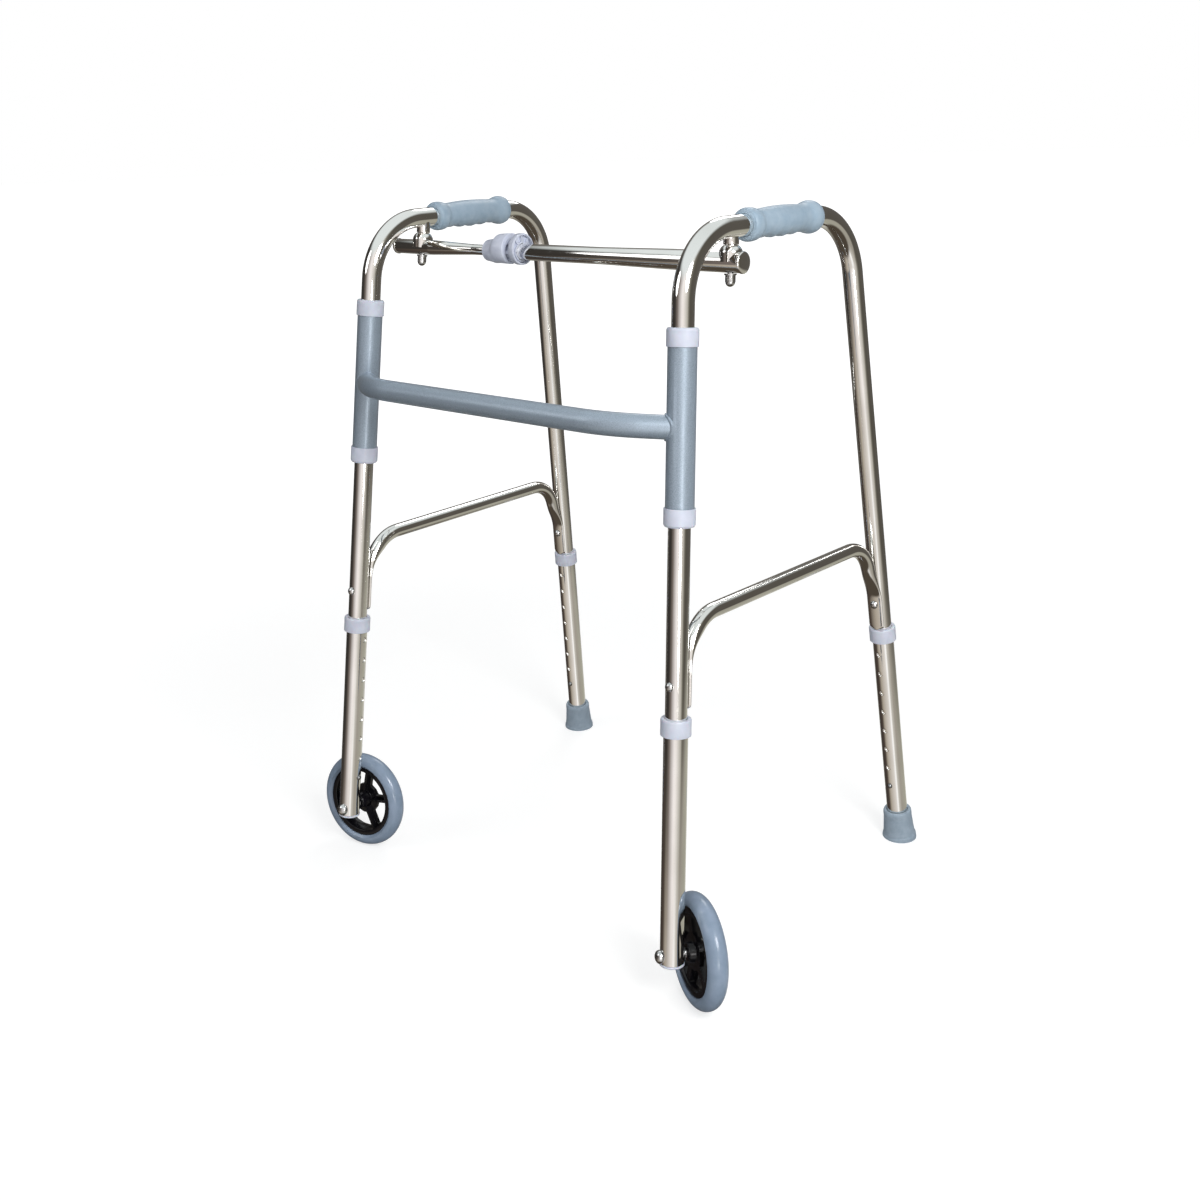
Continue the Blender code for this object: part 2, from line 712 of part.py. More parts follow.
def leg_collar(side, end, leg, top, sign, parent):
    """A cap on the lower tube's top end, with a bore that guides the side tube."""
    skirt = LOWER_RADIUS + SEAT_GAP
    bottom = top - LEG_COLLAR_HEIGHT
    outer = LEG_COLLAR_RADIUS
    profile = [
        (LOWER_BORE, top),
        (outer - COLLAR_ROUND, top),
        (outer, top - COLLAR_ROUND),
        (outer, bottom),
        (skirt, bottom),
        (skirt, top - COLLAR_LIP),
        (LOWER_BORE, top - COLLAR_LIP),
    ]
    name = side + "_" + end + "_leg_collar"
    add_part(name, revolve(profile), world_matrix(sign, leg), "collar_plastic", parent, sign)


def clip_path():
    """Centre line of the spring strip in its own plane: X out to the button, Z up the leg."""
    top = 0.6 * CLIP_ARM
    corners = [
        Vector((CLIP_REACH, 0.0, top)),
        Vector((CLIP_REACH, 0.0, -CLIP_ARM)),
        Vector((-CLIP_REACH, 0.0, -CLIP_ARM)),
        Vector((-CLIP_REACH, 0.0, top)),
    ]
    return rounded_path(corners, 0.8 * CLIP_REACH)


def strip_skin(path, thickness, width):
    """A flat strip bent along a path in the XZ plane."""
    bm = bmesh.new()
    rings = []
    for frame in path_frames(path, Vector((0.0, 1.0, 0.0))):
        stretch = Matrix.Diagonal((width, thickness, 1.0, 1.0))
        square = frame @ stretch @ turn(math.pi / 4, "Z")
        first = len(bm.edges)
        bmesh.ops.create_circle(bm, radius=math.sqrt(0.5), segments=4, matrix=square)
        bm.edges.ensure_lookup_table()
        rings.append(bm.edges[first:])
    bridge_rings(bm, rings)
    cap_rings(bm, rings)
    return finish_skin(bm)


def snap_clip(side, end, leg, height, sign, parent):
    place = leg @ shift(z=height) @ turn(hole_turn(side, end), "Z")
    bm = strip_skin(clip_path(), CLIP_THICKNESS, CLIP_WIDTH)
    name = side + "_" + end + "_snap_clip"
    clip = add_part(name, bm, world_matrix(sign, place), "spring_steel", parent, sign)
    tip = LOWER_RADIUS + BUTTON_PROUD
    profile = [
        (0.0, CLIP_REACH),
        (BUTTON_RADIUS, CLIP_REACH),
        (BUTTON_RADIUS, tip - 0.5 * BUTTON_RADIUS),
        (0.72 * BUTTON_RADIUS, tip - 0.14 * BUTTON_RADIUS),
        (0.0, tip),
    ]
    button = revolve(profile, SMALL_SIDES)
    bmesh.ops.transform(button, matrix=turn(math.pi / 2, "Y"), verts=button.verts)
    combine(clip, "button", button, "UNION", sign)


def end_plug(side, sign, parent):
    """Closes the front lower tube below the axle."""
    rim = LOWER_RADIUS + 2 * SEAT_GAP
    spigot = LOWER_BORE - SEAT_GAP
    seat = FRONT_TUBE_END + PLUG_RIM
    profile = [
        (0.0, FRONT_TUBE_END),
        (rim - COLLAR_ROUND, FRONT_TUBE_END),
        (rim, FRONT_TUBE_END + COLLAR_ROUND),
        (rim, seat),
        (spigot, seat),
        (spigot, seat + PLUG_DEPTH),
        (0.0, seat + PLUG_DEPTH),
    ]
    name = side + "_end_plug"
    add_part(name, revolve(profile), world_matrix(sign, FRONT_LEG), "collar_plastic", parent, sign)


def axle_bolt(side, place, sign, parent):
    seat = LOWER_RADIUS + SEAT_GAP
    end = WHEEL_OFFSET + BOSS_LENGTH / 2 + AXLE_NUT_HEIGHT + 4 * SEAT_GAP
    profile = [
        (0.0, -seat - AXLE_HEAD_HEIGHT),
        (0.55 * AXLE_HEAD_RADIUS, -seat - 0.85 * AXLE_HEAD_HEIGHT),
        (0.88 * AXLE_HEAD_RADIUS, -seat - 0.45 * AXLE_HEAD_HEIGHT),
        (AXLE_HEAD_RADIUS, -seat),
        (AXLE_RADIUS, -seat),
        (AXLE_RADIUS, end),
        (0.0, end),
    ]
    name = side + "_axle_bolt"
    add_part(name, revolve(profile, SMALL_SIDES), world_matrix(sign, place), "hardware", parent, sign)


def axle_spacer(side, place, sign, parent):
    near = LOWER_RADIUS + SEAT_GAP
    far = near + AXLE_SPACER
    bore = AXLE_RADIUS + SLIDE_GAP
    profile = [(bore, near), (AXLE_SPACER_RADIUS, near), (0.8 * AXLE_SPACER_RADIUS, far), (bore, far)]
    name = side + "_axle_spacer"
    add_part(name, revolve(profile, SMALL_SIDES), world_matrix(sign, place), "hardware", parent, sign)


def axle_nut(side, place, sign, parent):
    near = WHEEL_OFFSET + BOSS_LENGTH / 2 + SEAT_GAP
    bm = bmesh.new()
    middle = shift(z=near + AXLE_NUT_HEIGHT / 2)
    add_cylinder(bm, middle, AXLE_NUT_RADIUS, AXLE_NUT_HEIGHT, AXLE_NUT_SIDES)
    name = side + "_axle_nut"
    world = world_matrix(sign, place)
    nut = add_part(name, bm, world, "hardware", parent, sign, smooth=False)
    hole = drill(middle, AXLE_RADIUS + SLIDE_GAP, 2 * AXLE_NUT_HEIGHT)
    combine(nut, "hole", hole, "DIFFERENCE", sign)


def hub_profile(side):
    """Boss, web and rim. The web lies off the middle, so the hub is deeper on one face."""
    bore = turning_bore(AXLE_RADIUS, WHEEL_SIDES)
    half_boss = BOSS_LENGTH / 2
    web_near = WEB_SHIFT[side] - WEB_THICKNESS / 2
    web_far = WEB_SHIFT[side] + WEB_THICKNESS / 2
    half_rim = RIM_WIDTH / 2
    rim_inside = RIM_RADIUS - RIM_THICKNESS
    return [
        (bore, -half_boss),
        (BOSS_RADIUS - COLLAR_ROUND, -half_boss),
        (BOSS_RADIUS, web_near),
        (rim_inside - COLLAR_ROUND, web_near),
        (rim_inside, -half_rim),
        (RIM_RADIUS, -half_rim),
        (RIM_RADIUS, half_rim),
        (rim_inside, half_rim),
        (rim_inside - COLLAR_ROUND, web_far),
        (BOSS_RADIUS, web_far),
        (BOSS_RADIUS - COLLAR_ROUND, half_boss),
        (bore, half_boss),
    ]


def spoke_windows(side):
    """Prisms between the spokes, which keep the same width from boss to rim."""
    bm = bmesh.new()
    for window in range(SPOKE_COUNT):
        middle = WINDOW_TURN[side] + window * SPOKE_STEP
        outline = []
        for radius, shares in ((WINDOW_START, (-1, 0, 1)), (WINDOW_END, (1, 0.34, -0.34, -1))):
            half = SPOKE_STEP / 2 - math.asin(SPOKE_WIDTH / 2 / radius)
            outline += [(radius, middle + half * share) for share in shares]
        base = WEB_SHIFT[side] - WEB_THICKNESS
        verts = [
            bm.verts.new((radius * math.cos(angle), radius * math.sin(angle), base))
            for radius, angle in outline
        ]
        face = bm.faces.new(verts)
        raised = bmesh.ops.extrude_face_region(bm, geom=[face])["geom"]
        top = [item for item in raised if isinstance(item, bmesh.types.BMVert)]
        bmesh.ops.translate(bm, vec=(0.0, 0.0, 2 * WEB_THICKNESS), verts=top)
    return finish_skin(bm)


def spoke_ribs(side):
    """A rib along each spoke on the hub's deeper face, from the boss to the rim."""
    deep = -math.copysign(1.0, WEB_SHIFT[side])
    start = BOSS_RADIUS - COLLAR_ROUND
    end = RIM_RADIUS - RIM_THICKNESS / 2
    height = RIM_WIDTH / 2
    size = Matrix.Diagonal((end - start, SPOKE_RIB, height, 1.0))
    middle = shift(x=(start + end) / 2, z=WEB_SHIFT[side] + deep * height / 2)
    bm = bmesh.new()
    for spoke in range(SPOKE_COUNT):
        place = turn(WINDOW_TURN[side] + (spoke + 0.5) * SPOKE_STEP, "Z") @ middle
        bmesh.ops.create_cube(bm, size=1.0, matrix=place @ size)
    return bm


def wheel(side, place, sign, parent):
    world = world_matrix(sign, place @ shift(z=WHEEL_OFFSET))
    spun = revolve(hub_profile(side), WHEEL_SIDES)
    hub = add_part(side + "_wheel_hub", spun, world, "hub_plastic", parent, sign)
    combine(hub, "windows", spoke_windows(side), "DIFFERENCE", sign)
    combine(hub, "ribs", spoke_ribs(side), "UNION", sign)
    bead = RIM_RADIUS + SEAT_GAP
    half = TYRE_WIDTH / 2
    shoulder = WHEEL_RADIUS - half
    tread = []
    for step in range(TREAD_STEPS + 1):
        angle = math.pi * step / TREAD_STEPS
        tread.append((shoulder + half * math.sin(angle), -half * math.cos(angle)))
    profile = [(bead, -0.8 * half)] + tread + [(bead, 0.8 * half)]
    tyre = revolve(profile, WHEEL_SIDES)
    add_part(side + "_tyre", tyre, world, "tyre_rubber", parent, sign)


def rubber_tip(side, sign, parent):
    """A flared foot with a level sole, pushed over the rear lower tube."""
    socket = LOWER_RADIUS + SEAT_GAP
    profile = [
        (0.0, -TIP_TRIM),
        (TIP_FOOT_RADIUS, -TIP_TRIM),
        (TIP_FOOT_RADIUS, 0.07 * TIP_HEIGHT),
        (0.94 * TIP_FOOT_RADIUS, 0.13 * TIP_HEIGHT),
        (TIP_TOP_RADIUS, 0.94 * TIP_HEIGHT),
        (0.94 * TIP_TOP_RADIUS, TIP_HEIGHT),
        (socket, TIP_HEIGHT),
        (socket, TIP_FLOOR),
        (0.0, TIP_FLOOR),
    ]
    bm = revolve(profile)
    world = world_matrix(1, REAR_LEG)
    up = world.inverted().to_3x3() @ Vector((0.0, 0.0, 1.0))
    floor = world.inverted() @ Vector((world.translation.x, world.translation.y, 0.0))
    everything = bm.verts[:] + bm.edges[:] + bm.faces[:]
    cut = bmesh.ops.bisect_plane(bm, geom=everything, plane_co=floor, plane_no=up, clear_inner=True)
    rim = [item for item in cut["geom_cut"] if isinstance(item, bmesh.types.BMEdge)]
    bmesh.ops.edgeloop_fill(bm, edges=rim)
    finish_skin(bm)
    add_part(side + "_rubber_tip", bm, world_matrix(sign, REAR_LEG), "tip_rubber", parent, sign)


def bar_cutter(sign, radius):
    """A cylinder round the upper bar's axis, in the axes of the pivot at that end."""
    bm = bmesh.new()
    place = world_matrix(sign, PIVOT_AXES).inverted() @ along_bar(sign * PIVOT_X)
    add_cylinder(bm, place, radius, 6 * LUG_RADIUS)
    return bm


def handle_cutter(radius):
    bm = bmesh.new()
    handle = shift(y=PIVOT_POINT.y, z=HANDLE_HEIGHT) @ turn(-math.pi / 2, "X")
    add_cylinder(bm, PIVOT_AXES.inverted() @ handle, radius, 6 * LUG_RADIUS)
    return bm


def lug(side, sign, parent):
    """The block welded under the handle, with a blind socket for the stud."""
    world = world_matrix(sign, PIVOT_AXES)
    top = HANDLE_HEIGHT - PIVOT_POINT.z
    profile = [(0.0, LUG_BOTTOM), (LUG_RADIUS, LUG_BOTTOM), (LUG_RADIUS, top), (0.0, top)]
    block = add_part(side + "_bar_lug", revolve(profile), world, "chrome", parent, sign)
    combine(block, "handle", handle_cutter(TUBE_RADIUS + WELD_GAP), "DIFFERENCE", sign)
    socket = drill(shift(z=LUG_BOTTOM), STUD_RADIUS + SLIDE_GAP, 2 * (STUD_IN_LUG + SEAT_GAP))
    combine(block, "socket", socket, "DIFFERENCE", sign)


def saddle(side, bar_radius, sign, parent):
    """The moulded saddle that turns with the bar under the lug."""
    top = LUG_BOTTOM - SEAT_GAP
    bore = turning_bore(STUD_RADIUS, TUBE_SIDES)
    shoulder = 0.62 * top
    profile = [
        (bore, 0.0),
        (SADDLE_FOOT_RADIUS, 0.0),
        (SADDLE_FOOT_RADIUS, shoulder),
        (0.8 * SADDLE_FOOT_RADIUS, 0.88 * top),
        (SADDLE_TOP_RADIUS, top),
        (bore, top),
    ]
    world = world_matrix(sign, PIVOT_AXES)
    block = add_part(side + "_bar_saddle", revolve(profile), world, "chrome", parent, sign)
    cutter = bar_cutter(sign, bar_radius + SEAT_GAP)
    if sign < 0:
        mirror_mesh(cutter)
    combine(block, "bar", cutter, "DIFFERENCE", sign)


def pivot_stud(side, clear, sign, parent):
    end = LUG_BOTTOM + STUD_IN_LUG
    start = STUD_LAP - clear - CAP_NUT_LENGTH
    profile = [(0.0, start), (STUD_RADIUS, start), (STUD_RADIUS, end), (0.0, end)]
    world = world_matrix(sign, PIVOT_AXES)
    add_part(side + "_pivot_stud", revolve(profile, SMALL_SIDES), world, "hardware", parent, sign)


def cap_nut(side, clear, sign, parent):
    bore = STUD_RADIUS + SLIDE_GAP
    top = -clear
    tip = top - CAP_NUT_LENGTH
    shoulder = top - CAP_NUT_FLANGE
    profile = [
        (bore, top),
        (1.2 * CAP_NUT_RADIUS, top),
        (1.2 * CAP_NUT_RADIUS, shoulder),
        (CAP_NUT_RADIUS, shoulder),
        (CAP_NUT_RADIUS, tip + 0.7 * CAP_NUT_RADIUS),
        (0.7 * CAP_NUT_RADIUS, tip + 0.16 * CAP_NUT_RADIUS),
        (0.0, tip),
        (0.0, tip + STUD_LAP - SEAT_GAP),
        (bore, tip + STUD_LAP - SEAT_GAP),
    ]
    world = world_matrix(sign, PIVOT_AXES)
    add_part(side + "_cap_nut", cap_shape(profile), world, "hardware", parent, sign)


def pivot_mount(side, bar_radius, sign, fold, pivot):
    clear = bar_radius + PIVOT_GAP
    lug(side, sign, fold)
    pivot_stud(side, clear, sign, fold)
    cap_nut(side, clear, sign, fold)
    saddle(side, bar_radius, sign, pivot)


def cap_shape(outline):
    """Turns an outline that touches the axis in its middle: it is spun as two halves."""
    middle = next(i for i, (radius, _) in enumerate(outline) if radius < WELD_DISTANCE)
    outside = outline[:middle + 1]
    inside = outline[middle + 1:]
    return revolve(list(reversed(outside)) + list(reversed(inside)), SMALL_SIDES)


def along_bar(x):
    """A place on the upper bar's axis with Z pointing to the left side of the walker."""
    return Matrix.Translation((x, BAR_Y, BAR_Z)) @ turn(math.pi / 2, "Y")


def bar_profile(points, bore, start, end):
    """Outline of a bar tube: (radius, x) points outside and a straight bore inside."""
    return points + [(bore, end), (bore, start)]


def pivot_drill(sign, origin):
    """The hole for a pivot stud, in the axes of a bar piece whose place is given."""
    place = origin.inverted() @ world_matrix(sign, PIVOT_AXES)
    return drill(place, turning_bore(STUD_RADIUS, SMALL_SIDES), 4 * OUTER_BAR_RADIUS)


def outer_bar(parent):
    origin = along_bar(PIVOT_X)
    end = OUTER_BAR_TAIL
    start = OUTER_BAR_END_X - PIVOT_X + SEAT_GAP
    outside = [
        (OUTER_BAR_THIN_RADIUS, start),
        (OUTER_BAR_THIN_RADIUS, OUTER_TAPER_START - PIVOT_X),
        (OUTER_BAR_RADIUS, OUTER_TAPER_END - PIVOT_X),
        (OUTER_BAR_RADIUS, end),
    ]
    bm = revolve(bar_profile(outside, OUTER_BAR_BORE, start, end))
    bar = add_part("outer_bar", bm, origin, "chrome", parent)
    combine(bar, "hole", pivot_drill(1, origin), "DIFFERENCE")
    bar_plug("outer_bar_plug", origin @ shift(z=end), OUTER_BAR_RADIUS, OUTER_BAR_BORE, parent)


def inner_bar(parent):
    origin = along_bar(-PIVOT_X)
    start = -INNER_BAR_TAIL
    end = INNER_BAR_END_X + PIVOT_X
    bore = INNER_BAR_THIN_RADIUS - INNER_BAR_WALL
    outside = [
        (INNER_BAR_RADIUS, start),
        (INNER_BAR_RADIUS, INNER_TAPER_END + PIVOT_X),
        (INNER_BAR_THIN_RADIUS, INNER_TAPER_START + PIVOT_X),
        (INNER_BAR_THIN_RADIUS, end),
    ]
    bm = revolve(bar_profile(outside, bore, start, end))
    bar = add_part("inner_bar", bm, origin, "chrome", parent)
    combine(bar, "hole", pivot_drill(-1, origin), "DIFFERENCE")
    back = origin @ shift(z=start) @ turn(math.pi, "X")
    bar_plug("inner_bar_plug", back, INNER_BAR_RADIUS, bore, parent)
    seat = INNER_BAR_THIN_RADIUS + SLIDE_GAP
    outer = OUTER_BAR_BORE - TURN_GAP
    ring = [(seat, end - BUSH_LENGTH), (outer, end - BUSH_LENGTH), (outer, end), (seat, end)]
    add_part("inner_bar_bush", revolve(ring), origin, "collar_plastic", parent)


def bar_plug(name, place, radius, bore, parent):
    """A domed plug in a bar's open end. The place's Z points out of that end."""
    spigot = bore - SEAT_GAP
    rim = radius + PLUG_RIM_STEP
    profile = [
        (0.0, -PLUG_SPIGOT),
        (spigot, -PLUG_SPIGOT),
        (spigot, SEAT_GAP),
        (rim, SEAT_GAP),
        (rim, SEAT_GAP + 0.4 * PLUG_DOME),
        (0.75 * rim, SEAT_GAP + 0.85 * PLUG_DOME),
        (0.0, SEAT_GAP + PLUG_DOME),
    ]
    add_part(name, revolve(profile), place, "chrome", parent)


def raised_rings(stations):
    """Skin through (x, radius, raise) rings, the raise lifting each ring above the bar's axis."""
    bm = bmesh.new()
    rings = []
    for height, radius, lift in stations:
        rings.append(add_ring(bm, shift(x=-lift, z=height), radius, sides=LOCK_SIDES))
    bridge_rings(bm, rings)
    cap_rings(bm, rings)
    return finish_skin(bm)


def neck_ribs(start, end):
    """Ribs along the neck, on which the lock's cup slides."""
    bm = bmesh.new()
    inner = OUTER_BAR_BORE
    size = Matrix.Diagonal((LOCK_NECK_RADIUS - inner, NECK_RIB, end - start, 1.0))
    middle = shift(x=(LOCK_NECK_RADIUS + inner) / 2, z=(start + end) / 2)
    for rib in range(NECK_RIB_COUNT):
        spoke = turn((rib + 0.5) * 2 * math.pi / NECK_RIB_COUNT, "Z")
        bmesh.ops.create_cube(bm, size=1.0, matrix=spoke @ middle @ size)
    return bm


def lock_flange(parent):
    """The fixed half of the lock: web and ribbed neck on the outer bar's end, and an open hood."""
    origin = along_bar(LOCK_BACK_X)
    length = LOCK_FLANGE_LENGTH
    edge = LOCK_FLANGE_RADIUS - COLLAR_ROUND
    body = raised_rings([
        (0.0, edge, LOCK_RAISE),
        (COLLAR_ROUND, LOCK_FLANGE_RADIUS, LOCK_RAISE),
        (length, LOCK_FLANGE_RADIUS, LOCK_RAISE),
    ])
    flange = add_part("lock_flange", body, origin, "lock_plastic", parent)
    hollow = LOCK_FLANGE_RADIUS - LOCK_WALL
    pocket = raised_rings([(LOCK_WEB, hollow, LOCK_RAISE), (2 * length, hollow, LOCK_RAISE)])
    combine(flange, "pocket", pocket, "DIFFERENCE")
    hub = bmesh.new()
    add_cylinder(hub, shift(z=length / 4), LOCK_HUB_RADIUS, length)
    combine(flange, "hub", hub, "UNION")
    reach = LOCK_FLANGE_RADIUS - LOCK_WALL / 2
    size = Matrix.Diagonal((reach, MOUTH_RIB, 0.7 * length, 1.0))
    middle = shift(x=LOCK_WALL - LOCK_RAISE - reach / 2, z=0.4 * length)
    for index, angle in enumerate(MOUTH_RIB_ANGLES):
        rib = bmesh.new()
        place = turn(math.radians(angle), "Z") @ middle
        bmesh.ops.create_cube(rib, size=1.0, matrix=place @ size)
        combine(flange, "rib_" + str(index), rib, "UNION")
    core = bmesh.new()
    root = LOCK_WEB / 2
    middle = shift(z=(root - LOCK_NECK_LENGTH) / 2)
    add_cylinder(core, middle, LOCK_CORE_RADIUS, root + LOCK_NECK_LENGTH)
    combine(flange, "core", core, "UNION")
    combine(flange, "neck_ribs", neck_ribs(-LOCK_NECK_LENGTH, root), "UNION")
    guide = bmesh.new()
    add_cylinder(guide, Matrix.Identity(4), OUTER_BAR_BORE, 4 * LOCK_NECK_LENGTH)
    combine(flange, "guide", guide, "DIFFERENCE")
    socket = bmesh.new()
    deep = shift(z=LOCK_WEB + length)
    add_cylinder(socket, deep, OUTER_BAR_THIN_RADIUS + SLIDE_GAP, 2 * length)
    combine(flange, "socket", socket, "DIFFERENCE")


def lock_cup(parent):
    """The sliding half of the lock: a bell over the neck, wide enough for the inner bar's taper."""
    origin = along_bar(CUP_RIM_X)
    length = LOCK_CUP_LENGTH
    rim = LOCK_FLANGE_RADIUS - SLIDE_GAP
    tip = LOCK_CUP_TIP_RADIUS
    grow = rim - tip
    body = raised_rings([
        (-length, tip - 2 * COLLAR_ROUND, 0.0),
        (COLLAR_ROUND - length, tip, 0.0),
        (-LOCK_CUP_STEP - LOCK_CUP_SLOPE, tip + 0.4 * grow, 0.0),
        (-LOCK_CUP_STEP, tip + 0.85 * grow, 0.9 * LOCK_RAISE),
        (-COLLAR_ROUND, rim, LOCK_RAISE),
        (0.0, rim - COLLAR_ROUND, LOCK_RAISE),
    ])
    cup = add_part("lock_cup", body, origin, "lock_plastic", parent)
    depth = LOCK_NECK_LENGTH - SEAT_GAP + TURN_GAP
    chamber = bmesh.new()
    add_cylinder(chamber, Matrix.Identity(4), LOCK_NECK_RADIUS + 2 * SLIDE_GAP, 2 * depth, NECK_SIDES)
    combine(cup, "chamber", chamber, "DIFFERENCE")
    bore = bmesh.new()
    add_cylinder(bore, Matrix.Identity(4), CUP_BORE, 4 * length)
    combine(cup, "bore", bore, "DIFFERENCE")


def sleeve_collar(side, level, sign, parent):
    """A bearing ring: lip over the sleeve's end, skirt outside it and spigot between it and the leg."""
    bore = turning_bore(TUBE_RADIUS)
    skirt = SLEEVE_RADIUS + SEAT_GAP
    spigot = SLEEVE_BORE - SEAT_GAP
    outer = SLEEVE_COLLAR_RADIUS
    rounding = SLEEVE_COLLAR_ROUND
    profile = [
        (bore, 0.0),
        (outer - 0.4 * rounding, 0.0),
        (outer, -0.7 * rounding),
        (outer, -SLEEVE_COLLAR_HEIGHT),
        (skirt, -SLEEVE_COLLAR_HEIGHT),
        (skirt, -COLLAR_LIP),
        (spigot, -COLLAR_LIP),
        (spigot, -COLLAR_LIP - SPIGOT_LENGTH),
        (bore, -COLLAR_LIP - SPIGOT_LENGTH),
    ]
    if level == "top":
        place = FRONT_LEG @ shift(z=SLEEVE_COLLAR_TOP)
    else:
        place = FRONT_LEG @ shift(z=SLEEVE_COLLAR_BOTTOM) @ turn(math.pi, "X")
    name = side + "_" + level + "_sleeve_collar"
    add_part(name, revolve(profile), world_matrix(sign, place), "collar_plastic", parent, sign)


def cross_frames():
    """Centre line frames of the cross tube, from the right sleeve's axis to the left one."""
    height = (SLEEVE_TOP + SLEEVE_BOTTOM) / 2
    left = (SIDE_AXES @ FRONT_LEG) @ Vector((0.0, 0.0, height))
    right = MIRROR @ left
    leg = (SIDE_AXES @ FRONT_LEG).to_3x3() @ Vector((0.0, 0.0, 1.0))
    normal = Vector((0.0, leg.y, leg.z)).normalized()
    forward = normal.cross(Vector((1.0, 0.0, 0.0))) * -1.0
    inward = CROSS_FORWARD / math.tan(CROSS_END_ANGLE)
    left_corner = left + forward * CROSS_FORWARD - Vector((inward, 0.0, 0.0))
    right_corner = MIRROR @ left_corner
    path = rounded_path([right, right_corner, left_corner, left], CROSS_BEND_RADIUS)
    return path_frames(path, normal)


def h_frame():
    """Cross tube and sleeves as one welded piece. The tube's bore opens into the sleeves."""
    frames = cross_frames()
    item = add_part("h_frame", rod_skin(frames, CROSS_RADIUS), Matrix.Identity(4), "frame_paint")
    middle = (SLEEVE_TOP + SLEEVE_BOTTOM) / 2
    length = SLEEVE_TOP - SLEEVE_BOTTOM
    for side, sign in (("left", 1), ("right", -1)):
        sleeve = bmesh.new()
        place = world_matrix(sign, FRONT_LEG @ shift(z=middle))
        add_cylinder(sleeve, place, SLEEVE_RADIUS, length)
        combine(item, side + "_sleeve", sleeve, "UNION")
    combine(item, "bore", rod_skin(frames, CROSS_RADIUS - CROSS_WALL), "DIFFERENCE")
    for side, sign in (("left", 1), ("right", -1)):
        bore = bmesh.new()
        place = world_matrix(sign, FRONT_LEG @ shift(z=middle))
        add_cylinder(bore, place, SLEEVE_BORE, 2 * length)
        combine(item, side + "_bore", bore, "DIFFERENCE")
    return item


def front_leg(side, sign, parent):
    slide = add_axis(side + "_front_leg_slide", world_matrix(sign, FRONT_LEG), parent)
    bottom = FRONT_TUBE_END + PLUG_RIM + SEAT_GAP
    top = FRONT_COLLAR_TOP - COLLAR_LIP - SEAT_GAP
    lower_tube(side, "front", FRONT_LEG, bottom, top, sign, slide)
    leg_collar(side, "front", FRONT_LEG, FRONT_COLLAR_TOP, sign, slide)
    end_plug(side, sign, slide)
    place = axle_place(side)
    axle_bolt(side, place, sign, slide)
    axle_spacer(side, place, sign, slide)
    axle_nut(side, place, sign, slide)
    axle = add_axis(side + "_axle", world_matrix(sign, place), slide)
    wheel(side, place, sign, axle)


def rear_leg(side, sign, parent):
    slide = add_axis(side + "_rear_leg_slide", world_matrix(sign, REAR_LEG), parent)
    top = REAR_COLLAR_TOP - COLLAR_LIP - SEAT_GAP
    lower_tube(side, "rear", REAR_LEG, TIP_FLOOR + SEAT_GAP, top, sign, slide)
    leg_collar(side, "rear", REAR_LEG, REAR_COLLAR_TOP, sign, slide)
    rubber_tip(side, sign, slide)


def side_frame(side, sign, parent):
    fold = add_axis(side + "_fold_axis", world_matrix(sign, FRONT_LEG), parent)
    side_tube(side, sign, fold)
    brace(side, sign, fold)
    rivets(side, sign, fold)
    grip(side, sign, fold)
    snap_clip(side, "front", FRONT_LEG, FRONT_BUTTON, sign, fold)
    snap_clip(side, "rear", REAR_LEG, REAR_BUTTON, sign, fold)
    front_leg(side, sign, fold)
    rear_leg(side, sign, fold)
    return fold


def build():
    clear_scene()
    middle = h_frame()
    for side, sign in (("left", 1), ("right", -1)):
        for level in ("top", "bottom"):
            sleeve_collar(side, level, sign, middle)
    left_fold = side_frame("left", 1, middle)
    right_fold = side_frame("right", -1, middle)
    left_pivot = add_axis("outer_bar_pivot", world_matrix(1, PIVOT_AXES), left_fold)
    right_pivot = add_axis("inner_bar_pivot", world_matrix(-1, PIVOT_AXES), right_fold)
    pivot_mount("left", OUTER_BAR_RADIUS, 1, left_fold, left_pivot)
    pivot_mount("right", INNER_BAR_RADIUS, -1, right_fold, right_pivot)
    outer_bar(left_pivot)
    inner_bar(right_pivot)
    lock_flange(left_pivot)
    lock_cup(left_pivot)


build()
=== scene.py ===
"""Looks of the folding wheeled walker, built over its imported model, in metres with Z up.

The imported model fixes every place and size. Each piece is made here again with finer facets,
rounded edges and its real finish, and stands for the piece it covers. A side's pieces are
drawn for the left, in that side frame's axes: X outward, Y to the rear and Z up in its plane.
The right side mirrors them.
"""
import json
from math import asin, copysign, cos, pi, radians, sin, sqrt, tan

import bmesh
import bpy
from mathutils import Matrix, Vector


